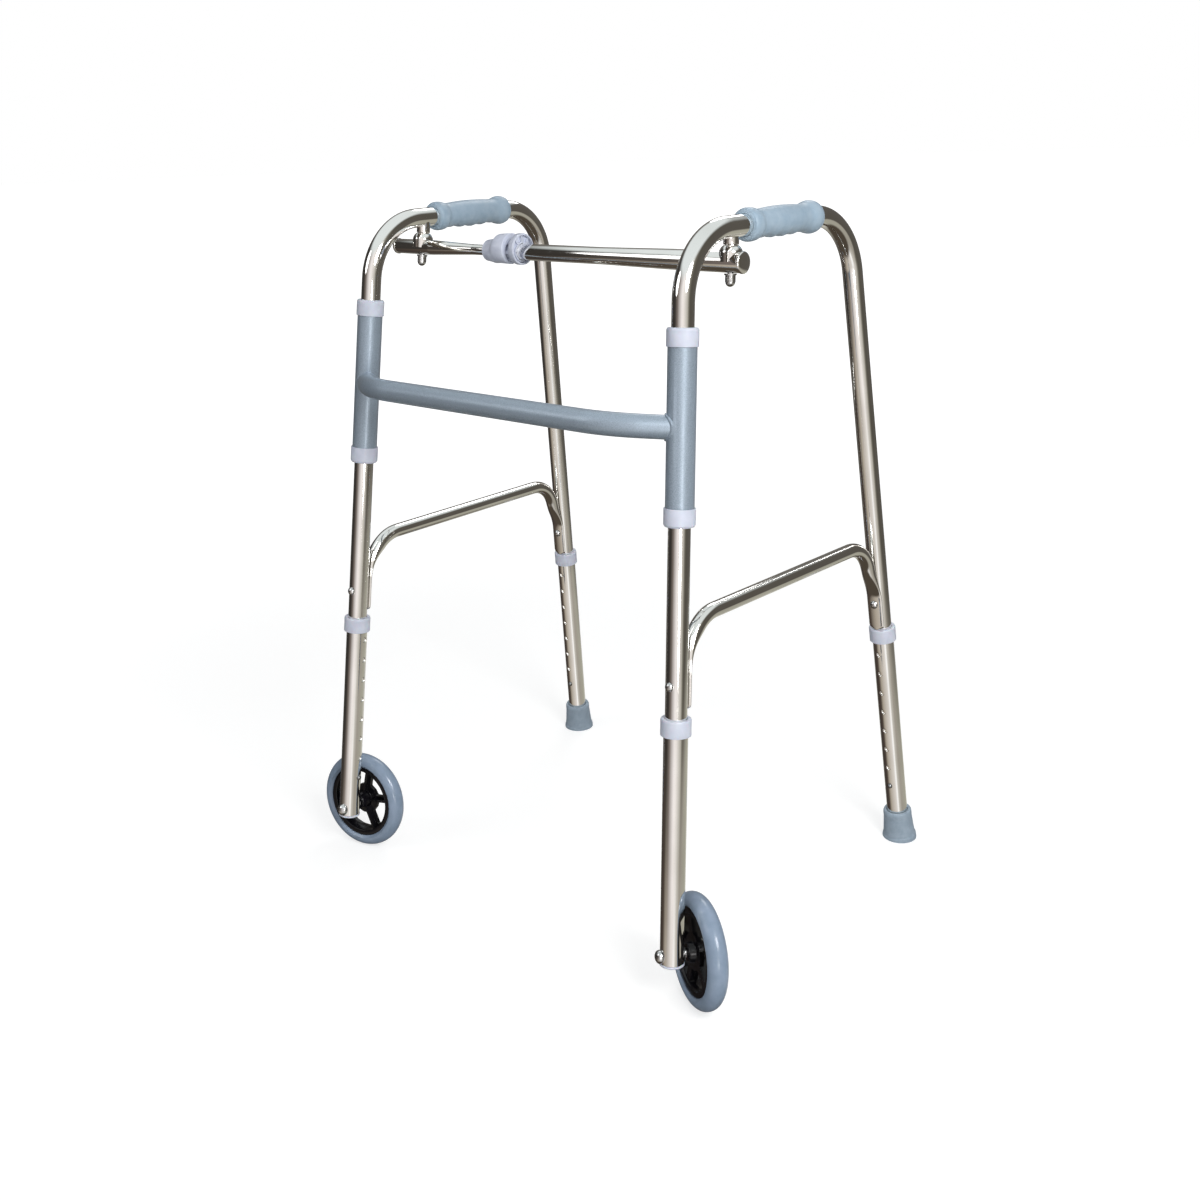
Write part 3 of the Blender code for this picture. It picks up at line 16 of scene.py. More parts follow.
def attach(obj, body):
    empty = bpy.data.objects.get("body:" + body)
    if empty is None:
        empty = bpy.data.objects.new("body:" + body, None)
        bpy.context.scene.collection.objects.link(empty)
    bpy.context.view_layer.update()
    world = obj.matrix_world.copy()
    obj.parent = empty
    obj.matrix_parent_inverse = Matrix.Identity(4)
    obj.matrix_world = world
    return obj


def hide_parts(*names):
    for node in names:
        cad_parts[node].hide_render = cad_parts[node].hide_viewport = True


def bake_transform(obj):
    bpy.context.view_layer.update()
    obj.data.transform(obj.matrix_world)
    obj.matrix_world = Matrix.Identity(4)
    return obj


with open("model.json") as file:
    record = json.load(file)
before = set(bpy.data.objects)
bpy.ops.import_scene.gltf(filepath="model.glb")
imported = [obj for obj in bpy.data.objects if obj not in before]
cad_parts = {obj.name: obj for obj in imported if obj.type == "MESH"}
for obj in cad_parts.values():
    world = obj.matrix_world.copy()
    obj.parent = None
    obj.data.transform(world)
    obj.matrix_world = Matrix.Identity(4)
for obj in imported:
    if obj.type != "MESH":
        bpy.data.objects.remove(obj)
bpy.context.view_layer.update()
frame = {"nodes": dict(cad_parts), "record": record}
BODIES = frame["record"]["behaviour"]["bodies"]
BODY_OF = {node: body for body, nodes in BODIES.items() for node in nodes}
SLOT_OF = {row["node"]: row["material_slot"] for row in frame["record"]["subparts"]}
SIDES = ("left", "right")

# Facets
TUBE_SIDES = 48
SMALL_SIDES = 24
WHEEL_SIDES = 96
BEND_STEPS = 20
EDGE_STEPS = 3
DOME_STEPS = 8
CURVE_STEPS = 6
SHARP_ANGLE = radians(38)
WELD = 0.00001

# A corner this open stays as it is, and a rounded one takes at most this share of a straight
STRAIGHT_HALF = radians(89)
CORNER_SHARE = 0.49

# Fits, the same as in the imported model
SEAT_GAP = 0.0003
SLIDE_GAP = 0.0002
PIVOT_GAP = 0.0006

# Stance of the side frames
FRONT_FOOT_X = 0.2555
FRONT_FOOT_Y = -0.232
SIDE_TILT = radians(2.7)
SIDE_TOE = radians(1.5)
FRONT_LEAN = radians(6.4)
REAR_LEAN = radians(6.2)
FOOT_SPACING = 0.4526
HANDLE_HEIGHT = 0.773
TOP_BEND = 0.072

# Side tube, and the lower tubes that slide outside it. Heights are measured along the leg.
TUBE_RADIUS = 0.0111
TUBE_WALL = 0.0012
TUBE_BELOW_BUTTON = 0.018
LOWER_BORE = TUBE_RADIUS + SLIDE_GAP
LOWER_RADIUS = LOWER_BORE + 0.001
LOWER_EDGE = 0.0003
FRONT_COLLAR_TOP = 0.3089
REAR_COLLAR_TOP = 0.2871
HOLE_COUNT = 8
HOLE_PITCH = 0.0254
HOLE_RADIUS = 0.0032
HOLE_BAND = 1.4 * HOLE_RADIUS
FRONT_TOP_HOLE = 0.2816
REAR_TOP_HOLE = 0.2545
FRONT_TUBE_END = 0.0516
BUTTON_DROP = (HOLE_COUNT - 1) * HOLE_PITCH

# Collars and end plugs of the legs
COLLAR_HEIGHT = 0.0174
COLLAR_RADIUS = 0.0155
COLLAR_LIP = 0.0036
COLLAR_SHOULDER = 0.0006
COLLAR_DROP = 0.0016
COLLAR_WAIST = 0.0001
COLLAR_FOOT = 0.0004
COLLAR_ROUND = 0.0007
PLUG_RIM = 0.0022
PLUG_SPIGOT = 0.0034
PLUG_ROUND = 0.0009

# Button and its sprung strip
BUTTON_RADIUS = 0.0029
BUTTON_PROUD = 0.003
BUTTON_DOME = 0.0022
STRIP_WIDTH = 0.0064
STRIP_THICKNESS = 0.0008
STRIP_INSET = 0.0011
STRIP_TOP = 0.0078
STRIP_BOTTOM = -0.013
STRIP_BEND_STEPS = 12

# Painted frame in the middle
SLEEVE_RADIUS = 0.0143
SLEEVE_WALL = 0.0015
BEARING_TOP = 0.69
BEARING_BOTTOM = 0.4997
SLEEVE_MIDDLE = (BEARING_TOP + BEARING_BOTTOM) / 2
BEARING_HEIGHT = 0.0182
BEARING_RADIUS = 0.0157
BEARING_SHOULDER = 0.0012
BEARING_DROP = 0.0021
BEARING_SPIGOT = 0.012
BEARING_ROUND = 0.0006
CROSS_RADIUS = 0.0119
CROSS_FORWARD = 0.043
CROSS_END_ANGLE = radians(38)
CROSS_BEND = 0.125
WELD_BEAD = 0.0016

# Brace with flattened, riveted ends
BRACE_RADIUS = 0.008
BRACE_FRONT_HEIGHT = 0.3995
BRACE_REAR_HEIGHT = 0.3945
BRACE_BEND = 0.042
BRACE_OFFSET = TUBE_RADIUS + SEAT_GAP + BRACE_RADIUS
BRACE_STEP = 0.0025
BRACE_FIRST_STEPS = (0, 0.0004, 0.0012, BRACE_STEP)
TONGUE_THICKNESS = 0.005
TONGUE_WIDTH = 0.0196
TONGUE_FACE = TUBE_RADIUS + SEAT_GAP + 0.0022
TONGUE_SHIFT = BRACE_OFFSET - TONGUE_FACE + TONGUE_THICKNESS / 2
TONGUE_LENGTH = 0.038
TONGUE_FLARE = 0.044
TONGUE_ROUND = 0.004
FRONT_TONGUE_DROP = 0.0258
REAR_TONGUE_DROP = 0.0318
FRONT_RIVET = 0.3423
REAR_RIVET = 0.3199
RIVET_RADIUS = 0.0048
RIVET_HEIGHT = 0.0034
RIVET_SHANK = 0.0025
TAIL_RADIUS = 0.8 * RIVET_RADIUS
TAIL_RIM = 0.001
TAIL_HEIGHT = 0.0016

# Grips. The outline holds a radius and a share of the length, from the front flange over the
# neck and the swell for the palm to the rear flange.
GRIP_START = 0.1805
GRIP_LENGTH = 0.12
GRIP_RADIUS = 0.0158
GRIP_FLANGE = GRIP_RADIUS + 0.001
GRIP_NECK = GRIP_RADIUS - 0.0014
GRIP_OUTLINE = (
    (0.80 * GRIP_FLANGE, 0), (0.93 * GRIP_FLANGE, 0.008), (GRIP_FLANGE, 0.04),
    (0.98 * GRIP_FLANGE, 0.1), (GRIP_NECK, 0.165), (0.97 * GRIP_RADIUS, 0.33), (GRIP_RADIUS, 0.48),
    (0.97 * GRIP_RADIUS, 0.65), (GRIP_NECK, 0.82), (0.98 * GRIP_FLANGE, 0.89),
    (1.03 * GRIP_FLANGE, 0.94), (0.95 * GRIP_FLANGE, 0.992), (0.80 * GRIP_FLANGE, 1),
)
PALM_START = 0.2 * GRIP_LENGTH
PALM_LENGTH = 0.6 * GRIP_LENGTH
FINGER_DEPTH = 0.0014
FINGER_COUNT = 4

# Upper bar and its pivots. Each taper runs between two places along the walker's X.
PIVOT_X = 0.2225
BAR_Y = -0.072
BAR_Z = 0.738
OUTER_RADIUS = 0.0105
OUTER_THIN = 0.0091
OUTER_BORE = 0.0076
OUTER_TAIL = 0.0135
OUTER_TAPER = (0.06, 0.15)
INNER_RADIUS = 0.0086
INNER_THIN = 0.006
INNER_BORE = INNER_THIN - 0.0014
INNER_TAIL = 0.041
INNER_END_X = 0.03
INNER_TAPER = (-0.205, -0.135)
BAR_EDGE = 0.0004
BUNG_DEPTH = 0.01
BUNG_RIM = 0.0006
BUNG_WALL = 0.0012
BUNG_DOME = 0.0028
LUG_BOTTOM = 0.0168
LUG_RADIUS = 0.0078
LUG_EDGE = 0.0008
LUG_SEAT = 0.0001
ACROSS_LUG = 6 * LUG_RADIUS
STUD_RADIUS = 0.003
STUD_IN_LUG = 0.0035
SADDLE_BORE = 0.0034
SADDLE_TOP = 0.007
SADDLE_FOOT = 0.0118
CAP_RADIUS = 0.0052
CAP_LENGTH = 0.013
CAP_BORE = 0.0032
CAP_CROWN = 0.0052
CAP_FLANGE = 0.0015
CAP_SLOPE = 0.0003

# Lock on the upper bar. Its raised rims are rounded by pairs: way from the end, way in.
LOCK_MOUTH_X = -0.0572
FLANGE_LENGTH = 0.0074
FLANGE_RADIUS = 0.0174
LOCK_TRAVEL = 0.0095
LOCK_RAISE = 0.003
LOCK_WALL = 0.002
LOCK_WEB = 0.003
LOCK_ROUND = ((0, 0.0012), (0.0003, 0.0005), (0.0012, 0))
MOUTH_ROUND = ((0.0006, 0), (0, 0.0005))
LOCK_HUB_RADIUS = 0.0109
LOCK_CORE_RADIUS = 0.0093
NECK_RADIUS = 0.0112
NECK_LENGTH = 0.022
NECK_RIB_COUNT = 6
NECK_RIB = 0.0034
MOUTH_RIB = 0.0014
MOUTH_RIB_ANGLES = (-35, 0, 35)
CUP_LENGTH = 0.0374
CUP_STEP = 0.0165
CUP_SLOPE = 0.0075
SLOPE_STEPS = 8
CUP_TIP = 0.012
CUP_TIP_ROUND = ((0, 0.0024), (0.0004, 0.0011), (0.0012, 0))
CUP_BORE = 0.0089
LOCK_BACK_X = LOCK_MOUTH_X - FLANGE_LENGTH
CUP_RIM_X = LOCK_BACK_X - LOCK_TRAVEL - SEAT_GAP

# Wheels
AXLE_TURN = {"left": radians(29), "right": radians(9)}
HEAD_RADIUS = 0.0068
HEAD_HEIGHT = 0.0056
HEAD_RIM = 0.001
AXLE_RADIUS = 0.003
AXLE_HOLE = 0.0032
AXLE_CHAMFER = 0.0006
SPACER_LENGTH = 0.0032
SPACER_RADIUS = 0.0065
NUT_RADIUS = 0.0062
NUT_HEIGHT = 0.005
WHEEL_RADIUS = 0.0588
TYRE_WIDTH = 0.022
TYRE_LIP = 0.0008
TYRE_STEPS = 24
RIM_RADIUS = 0.0448
RIM_WIDTH = 0.017
RIM_THICKNESS = 0.006
WEB_THICKNESS = 0.005
WEB_SHIFT = {"left": -0.004, "right": 0.004}
BOSS_RADIUS = 0.0105
BOSS_LENGTH = 0.026
HUB_BORE = 0.0034
HUB_DRAFT = 0.0012
HUB_ROUND = 0.0008
SOFT_EDGE = 0.0004
SOFT_ANGLE = radians(50)
SPOKE_COUNT = 5
SPOKE_WIDTH = 0.009
SPOKE_RIB = 0.0022
SPOKE_STEP = 2 * pi / SPOKE_COUNT
WINDOW_TURN = {"left": 0, "right": radians(12)}
WINDOW_START = 0.019
WINDOW_END = 0.0365
WINDOW_CORNER = 0.0018
CORNER_STEPS = 4
WHEEL_OFFSET = LOWER_RADIUS + SPACER_LENGTH + 2 * SEAT_GAP + BOSS_LENGTH / 2

# Rubber tips
TIP_HEIGHT = 0.039
TIP_TOP = 0.0168
TIP_FOOT = 0.0206
TIP_FLOOR = 0.012
TIP_BELOW = -0.004
TIP_ROUND = 0.0012


def shift(x=0, y=0, z=0):
    return Matrix.Translation((x, y, z))


def turn(angle, axis):
    return Matrix.Rotation(angle, 4, axis)


CENTRE = Matrix.Identity(4)
MIRROR = Matrix.Diagonal((-1, 1, 1, 1))
ALONG_Y = turn(-pi / 2, "X")
SIDE_NORMAL = Vector((1, 0, 0))
SIDE_AXES = shift(x=FRONT_FOOT_X, y=FRONT_FOOT_Y) @ turn(-SIDE_TOE, "Z") @ turn(-SIDE_TILT, "Y")
FIRST_ON_X = turn(-pi / 2, "Z")
FRONT_LEG = turn(-FRONT_LEAN, "X")
REAR_LEG = shift(y=FOOT_SPACING) @ turn(REAR_LEAN, "X")
PIVOT_POINT = SIDE_AXES.inverted() @ Vector((PIVOT_X, BAR_Y, BAR_Z))
PIVOT_AXES = shift(*PIVOT_POINT) @ FRONT_LEG

# Each leg's axes, the lower end of its lower tube, the top of its collar and its highest hole
LEGS = {
    "front": (FRONT_LEG, FRONT_TUBE_END + PLUG_RIM + SEAT_GAP, FRONT_COLLAR_TOP, FRONT_TOP_HOLE),
    "rear": (REAR_LEG, TIP_FLOOR + SEAT_GAP, REAR_COLLAR_TOP, REAR_TOP_HOLE),
}


# Materials

def linear(hex_colour):
    """An sRGB hex colour as the linear RGBA that a shader takes."""
    channels = [int(hex_colour[i:i + 2], 16) / 255 for i in (1, 3, 5)]
    return [c / 12.92 if c <= 0.04045 else ((c + 0.055) / 1.055) ** 2.4 for c in channels] + [1]


def add_node(tree, kind, settings=None, values=None, links=None):
    """Adds a shader node with its settings, its sockets' values and what feeds its sockets."""
    node = tree.nodes.new("ShaderNode" + kind)
    for name, value in (settings or {}).items():
        setattr(node, name, value)
    for name, value in (values or {}).items():
        node.inputs[name].default_value = value
    for name, source in (links or {}).items():
        tree.links.new(source, node.inputs[name])
    return node


def new_finish(name, **values):
    """A material with its shader's plain values, and its tree, shader and coordinates."""
    material = bpy.data.materials.new(name)
    material.use_nodes = True
    tree = material.node_tree
    shader = tree.nodes["Principled BSDF"]
    for socket, value in values.items():
        shader.inputs[socket.replace("_", " ")].default_value = value
    place = add_node(tree, "TexCoord").outputs["Object"]
    return material, tree, shader, place


def grain(tree, place, size_mm, detail=2, roughness=0.5):
    """Noise whose lumps are about as large as the given size."""
    values = {"Scale": 1000 / size_mm, "Detail": detail, "Roughness": roughness}
    noise = add_node(tree, "TexNoise", values=values, links={"Vector": place})
    return noise.outputs["Fac"]


def tint(tree, shader, pattern, dark, light, start=0.3, end=0.7):
    """Feeds the shader's colour with a pattern, between two hex colours."""
    ramp = add_node(tree, "ValToRGB", links={"Fac": pattern})
    for element, position, colour in zip(ramp.color_ramp.elements, (start, end), (dark, light)):
        element.position = position
        element.color = linear(colour)
    tree.links.new(ramp.outputs["Color"], shader.inputs["Base Color"])


def finish(name, colours, sheen, relief=None, spread=(0.3, 0.7), **values):
    """A material whose colour, roughness and relief each follow a grain of their own.

    Colours and sheen hold their two ends, and relief its depth in mm and its strength. The
    grain's size in mm, detail and roughness come after them. Other values stay plain.
    """
    material, tree, shader, place = new_finish(name, **values)
    tint(tree, shader, grain(tree, place, *colours[2:]), *colours[:2], *spread)
    levels = {"From Min": 0.3, "From Max": 0.7, "To Min": sheen[0], "To Max": sheen[1]}
    rough = add_node(tree, "MapRange", values=levels, links={"Value": grain(tree, place, *sheen[2:])})
    tree.links.new(rough.outputs["Result"], shader.inputs["Roughness"])
    if relief:
        depth = {"Distance": relief[0] / 1000, "Strength": relief[1]}
        bump = add_node(tree, "Bump", values=depth, links={"Height": grain(tree, place, *relief[2:])})
        tree.links.new(bump.outputs["Normal"], shader.inputs["Normal"])
    return material


FINISHES = {
    # Polished and plated tube: a mirror, with faint smears of handling and a slightly uneven drawn wall.
    "chrome": finish(
        "chromed_steel_tube", ("#ECEBE8", "#F8F7F5", 60), (0.045, 0.11, 14, 4),
        (0.04, 0.12, 14), Metallic=1),
    # Plated, tumbled bolts and nuts: bright metal, duller than the tubes and finely pitted.
    "hardware": finish(
        "zinc_plated_steel", ("#C6C7C8", "#E0E1E2", 4), (0.14, 0.30, 1.5, 3),
        (0.02, 0.3, 0.8), Metallic=1),
    # Rolled, tempered strip: greyer and drier than the plated pieces.
    "spring_steel": finish(
        "tempered_spring_steel", ("#7C7E80", "#989A9C", 3), (0.28, 0.42, 1, 3), Metallic=1),
    # Sprayed metallic enamel over steel: satin, with flakes and a soft orange peel 1.5 mm across.
    "frame_paint": finish(
        "sprayed_silver_enamel", ("#8D9BA8", "#AAB8C6", 0.6, 1), (0.34, 0.44, 20, 3),
        (0.03, 0.4, 1.5), (0.35, 0.65), Metallic=0.35, IOR=1.5, Coat_Weight=0.25, Coat_Roughness=0.2),
    # Moulded nylon: pale and slightly blue, with a fine spark-eroded texture drawn at 0.8 mm.
    "collar_plastic": finish(
        "moulded_nylon", ("#C9CDDB", "#D5D9E6", 12, 3), (0.34, 0.46, 3, 3),
        (0.02, 0.5, 0.8), IOR=1.53, Subsurface_Weight=0.08, Subsurface_Scale=0.002),
    # Moulded ABS: the same pale blue grey, a little glossier and darker than the nylon collars.
    "lock_plastic": finish(
        "moulded_abs", ("#C3C8D8", "#D1D6E3", 10, 3), (0.26, 0.38, 3, 3),
        (0.02, 0.4, 0.8), IOR=1.54),
    # Slush-moulded soft PVC: clouded blue grey with a leathery skin of lumps 1.2 mm across.
    "grip_plastic": finish(
        "moulded_soft_pvc", ("#95ABBC", "#A6B8C6", 9, 4, 0.6), (0.36, 0.54, 3, 3),
        (0.06, 0.5, 1.2, 3), IOR=1.53),
    # Moulded solid polyurethane tyre: smooth and rather glossy, with faint flow marks.
    "tyre_rubber": finish(
        "moulded_polyurethane", ("#8596A9", "#92A2B7", 14, 4), (0.17, 0.27, 6, 3),
        (0.03, 0.3, 2), IOR=1.5),
    # Moulded glossy black nylon: nearly black, with sharp small highlights.
    "hub_plastic": finish(
        "moulded_black_nylon", ("#0B0B0E", "#141318", 10, 3), (0.14, 0.26, 4, 3),
        (0.02, 0.3, 2), IOR=1.53, Specular_IOR_Level=0.3),
    # Moulded rubber: matt grey with a dusty bloom and a skin of fine lumps.
    "tip_rubber": finish(
        "moulded_grey_rubber", ("#8F9FAD", "#A0AFBC", 7, 5, 0.6), (0.55, 0.72, 2, 3),
        (0.06, 0.6, 0.9, 3), IOR=1.52),
}


def refinish_nodes():
    """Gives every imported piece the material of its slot, also where it stays in view."""
    for node, item in frame["nodes"].items():
        item.data.materials.clear()
        item.data.materials.append(FINISHES[SLOT_OF[node]])


# Shapes

def outward(bm):
    bmesh.ops.recalc_face_normals(bm, faces=bm.faces)
    return bm


def fillet(before, corner, after, radius, count):
    """The arc that rounds a corner, or the corner alone where the path runs straight."""
    back = (before - corner).normalized()
    ahead = (after - corner).normalized()
    half = back.angle(ahead) / 2
    if half > STRAIGHT_HALF:
        return [corner]
    longest = CORNER_SHARE * min((before - corner).length, (after - corner).length)
    reach = min(radius / tan(half), longest)
    radius = reach * tan(half)
    centre = corner + (back + ahead).normalized() * (radius / sin(half))
    start = corner + back * reach - centre
    axis = back.cross(ahead).normalized()
    sweep = pi - 2 * half
    turns = [turn(-sweep * step / count, axis).to_3x3() for step in range(count + 1)]
    return [centre + part_turn @ start for part_turn in turns]


def rounded_path(corners, radius, count=BEND_STEPS, closed=False):
    """A path with its corners rounded, also the end ones where it closes."""
    path = []
    for index, corner in enumerate(corners):
        if closed or 0 < index < len(corners) - 1:
            path += fillet(corners[index - 1], corner, corners[(index + 1) % len(corners)], radius, count)
        else:
            path.append(corner)
    return path


def path_frames(path, normal):
    """A frame at each point of a flat path: Z along the path and X along the plane's normal."""
    legs = [(end - start).normalized() for start, end in zip(path, path[1:])]
    legs = [legs[0]] + legs + [legs[-1]]
    frames = []
    for point, before, after in zip(path, legs, legs[1:]):
        along = (before + after).normalized()
        across = along.cross(normal).normalized()
        axes = Matrix((normal, across, along)).transposed().to_4x4()
        frames.append(shift(*point) @ axes)
    return frames


def spin(rows, sides=TUBE_SIDES, edge=0):
    """Spins an outline about Z. Each row holds a radius and the heights that it has points at.

    Corners off the axis are rounded by the edge radius.
    """
    closed = rows[0][0] > WELD
    points = [Vector((radius, 0, height)) for radius, *heights in rows for height in heights]
    if edge:
        points = rounded_path(points, edge, EDGE_STEPS, closed)
    bm = bmesh.new()
    verts = [bm.verts.new(point) for point in points]
    pairs = list(zip(verts, verts[1:]))
    if closed:
        pairs.append((verts[-1], verts[0]))
    edges = [bm.edges.new(pair) for pair in pairs]
    bmesh.ops.spin(bm, geom=verts + edges, cent=(0, 0, 0), axis=(0, 0, 1), angle=2 * pi,
                   steps=sides, use_merge=True)
    bmesh.ops.remove_doubles(bm, verts=bm.verts, dist=WELD / 10)
    return outward(bm)


def cylinder(place, radius, length, sides=TUBE_SIDES, bm=None):
    """A capped cylinder centred on a place, along that place's Z."""
    bm = bm or bmesh.new()
    bmesh.ops.create_cone(bm, cap_ends=True, segments=sides, radius1=radius, radius2=radius,
                          depth=length, matrix=place @ FIRST_ON_X)
    return bm


def block(place, size, bm=None):
    """A box centred on a place."""
    bm = bm or bmesh.new()
    bmesh.ops.create_cube(bm, size=1, matrix=place @ Matrix.Diagonal((*size, 1)))
    return bm


def skin(rings, capped=True, sides=TUBE_SIDES):
    """One skin through rings in the XY planes of their places.

    Each ring has a place, a radius, and its shares of flattening along Y and stretch along X.
    """
    bm = bmesh.new()
    loops = []
    for place, radius, flat, wide in rings:
        first = len(bm.edges)
        shape = place @ Matrix.Diagonal((wide, flat, 1, 1)) @ FIRST_ON_X
        bmesh.ops.create_circle(bm, radius=radius, segments=sides, matrix=shape)
        bm.edges.ensure_lookup_table()
        loops.append(bm.edges[first:])
    for near, far in zip(loops, loops[1:]):
        bmesh.ops.bridge_loops(bm, edges=near + far)
    if capped:
        bmesh.ops.edgeloop_fill(bm, edges=loops[0])
        bmesh.ops.edgeloop_fill(bm, edges=loops[-1])
    return outward(bm)


def rod(frames, radius, capped=True):
    return skin([(place, radius, 1, 1) for place in frames], capped)


def tube(frames, radius, wall):
    """A bent tube, open at both ends."""
    bm = rod(frames, radius, capped=False)
    bmesh.ops.solidify(bm, geom=bm.faces[:], thickness=wall)
    return outward(bm)


def add_object(name, data):
    item = bpy.data.objects.new(name, data)
    bpy.context.scene.collection.objects.link(item)
    return item


def mesh_object(name, bm):
    mesh = bpy.data.meshes.new(name)
    bm.to_mesh(mesh)
    bm.free()
    return add_object(name, mesh)


def combine(bm, other, operation):
    """A boolean of two solids, without the slivers that it leaves."""
    item = mesh_object("loose", bm)
    tool = mesh_object("loose", other)
    modifier = item.modifiers.new("combine", "BOOLEAN")
    modifier.object = tool
    modifier.operation = operation
    modifier.solver = "EXACT"
    done = item.evaluated_get(bpy.context.evaluated_depsgraph_get())
    result = bmesh.new()
    result.from_mesh(done.to_mesh())
    bmesh.ops.dissolve_degenerate(result, dist=WELD, edges=result.edges)
    for used in (item, tool):
        bpy.data.meshes.remove(used.data)
    return result


def drilled(bm, *cutters):
    for cutter in cutters:
        bm = combine(bm, cutter, "DIFFERENCE")
    return bm


def joined(bm, *others):
    for other in others:
        bm = combine(bm, other, "UNION")
    return bm


def dress(node, bm, world, spring=None):
    """Puts a mesh in its place as the shown piece for a packed one, on that one's body.

    A spring holds the body for one end and where the give starts and ends, but only whether it is given
    is read: such a piece then stays fixed in the world, on no body, and does not bend.
    """
    bm.transform(world)
    if world.determinant() < 0:
        bmesh.ops.reverse_faces(bm, faces=bm.faces)
    item = mesh_object(node + "_finished", bm)
    item.data.shade_smooth()
    item.data.set_sharp_from_angle(angle=SHARP_ANGLE)
    item.data.materials.append(FINISHES[SLOT_OF[node]])
    if spring:
        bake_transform(item)
    else:
        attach(item, BODY_OF[node])
    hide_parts(node)
    return item


def side_world(side, place=CENTRE):
    """A place in the left frame's axes as a matrix in the world, for either side."""
    world = SIDE_AXES @ place
    return world if side == "left" else MIRROR @ world


def dress_side(side, name, bm, place=CENTRE, spring=None):
    return dress(side + "_" + name, bm, side_world(side, place), spring)


def dome(radius, height, seat):
    """Outline of a dome from its seat to its top, downward where the height is negative."""
    angles = [pi / 2 * step / DOME_STEPS for step in range(DOME_STEPS, -1, -1)]
    return [(radius * sin(angle), seat + height * cos(angle)) for angle in angles]


def smooth_outline(points):
    """Smooth curves through (radius, height) points."""
    curve = []
    padded = [points[0]] + points + [points[-1]]
    for before, start, end, after in zip(padded, padded[1:], padded[2:], padded[3:]):
        for step in range(CURVE_STEPS):
            t = step / CURVE_STEPS
            curve.append(tuple(
                0.5 * (2 * b + (c - a) * t + (2 * a - 5 * b + 4 * c - d) * t ** 2
                       + (3 * b - a - 3 * c + d) * t ** 3)
                for a, b, c, d in zip(before, start, end, after)
            ))
    return curve + [points[-1]]


# Places on the side frame

def leg_point(leg, height, rearward=0):
    return leg @ Vector((0, rearward, height))


def meet_height(leg, rearward, height):
    """Where a line beside a leg reaches a height in the frame's plane."""
    low = leg_point(leg, 0, rearward)
    step = leg_point(leg, 1, rearward) - low
    return low + step * ((height - low.z) / step.z)


def across_leg(leg, height):
    """A place on a leg's axis with Z pointing to the rear."""
    return leg @ shift(z=height) @ ALONG_Y


def radial(leg, height, angle):
    """A place on a leg's axis with Z pointing out from it, turned about the leg from X."""
    return leg @ shift(z=height) @ turn(angle, "Z") @ turn(pi / 2, "Y")


def hole_turn(side, end):
    """Front holes face inboard, square to the axle. Rear holes face forward."""
    if end == "front":
        return pi - AXLE_TURN[side]
    return -pi / 2


def axle_place(side):
    """The axle's place on its leg, as high as the wheel needs to stand on the floor."""
    leg = FRONT_LEG @ turn(-AXLE_TURN[side], "Z")
    foot = SIDE_AXES @ across_leg(leg, 0)
    rise = (SIDE_AXES @ leg).col[2].z
    lean = foot.col[2].z
    tread = TYRE_WIDTH / 2
    centre = tread + (WHEEL_RADIUS - tread) * sqrt(1 - lean * lean)
    height = (centre - WHEEL_OFFSET * lean - foot.translation.z) / rise
    return across_leg(leg, height)


# Pieces of the side frames

def side_tube(side):
    below = BUTTON_DROP + TUBE_BELOW_BUTTON
    corners = [
        leg_point(FRONT_LEG, FRONT_TOP_HOLE - below),
        meet_height(FRONT_LEG, 0, HANDLE_HEIGHT),
        meet_height(REAR_LEG, 0, HANDLE_HEIGHT),
        leg_point(REAR_LEG, REAR_TOP_HOLE - below),
    ]
    path = rounded_path(corners, TOP_BEND)
    bm = tube(path_frames(path, SIDE_NORMAL), TUBE_RADIUS, TUBE_WALL)
    holes = bmesh.new()
    for end, (leg, _, _, top_hole) in LEGS.items():
        place = radial(leg, top_hole - BUTTON_DROP, hole_turn(side, end))
        cylinder(place @ shift(z=TUBE_RADIUS), HOLE_RADIUS, TUBE_RADIUS, SMALL_SIDES, holes)
    dress_side(side, "side_tube", drilled(bm, holes))


def brace_section(reach):
    """Half width, half thickness and shift to the leg of a brace, at a distance from its nearer end."""
    half_wide = TONGUE_WIDTH / 2
    half_flat = TONGUE_THICKNESS / 2
    rounded = min(1, 0.5 + 0.5 * sin(0.5 * pi * min(1, reach / TONGUE_ROUND)))
    share = min(1, max(0, (reach - TONGUE_LENGTH) / TONGUE_FLARE))
    share = 0.5 - 0.5 * cos(pi * share)
    wide = (half_wide + (BRACE_RADIUS - half_wide) * share) * rounded
    flat = half_flat + (BRACE_RADIUS - half_flat) * share
    return wide, flat, TONGUE_SHIFT * (1 - share)


def point_along(path, distance):
    for start, end in zip(path, path[1:]):
        length = (end - start).length
        if distance <= length:
            return start + (end - start) * (distance / length)
        distance -= length
    return path[-1].copy()


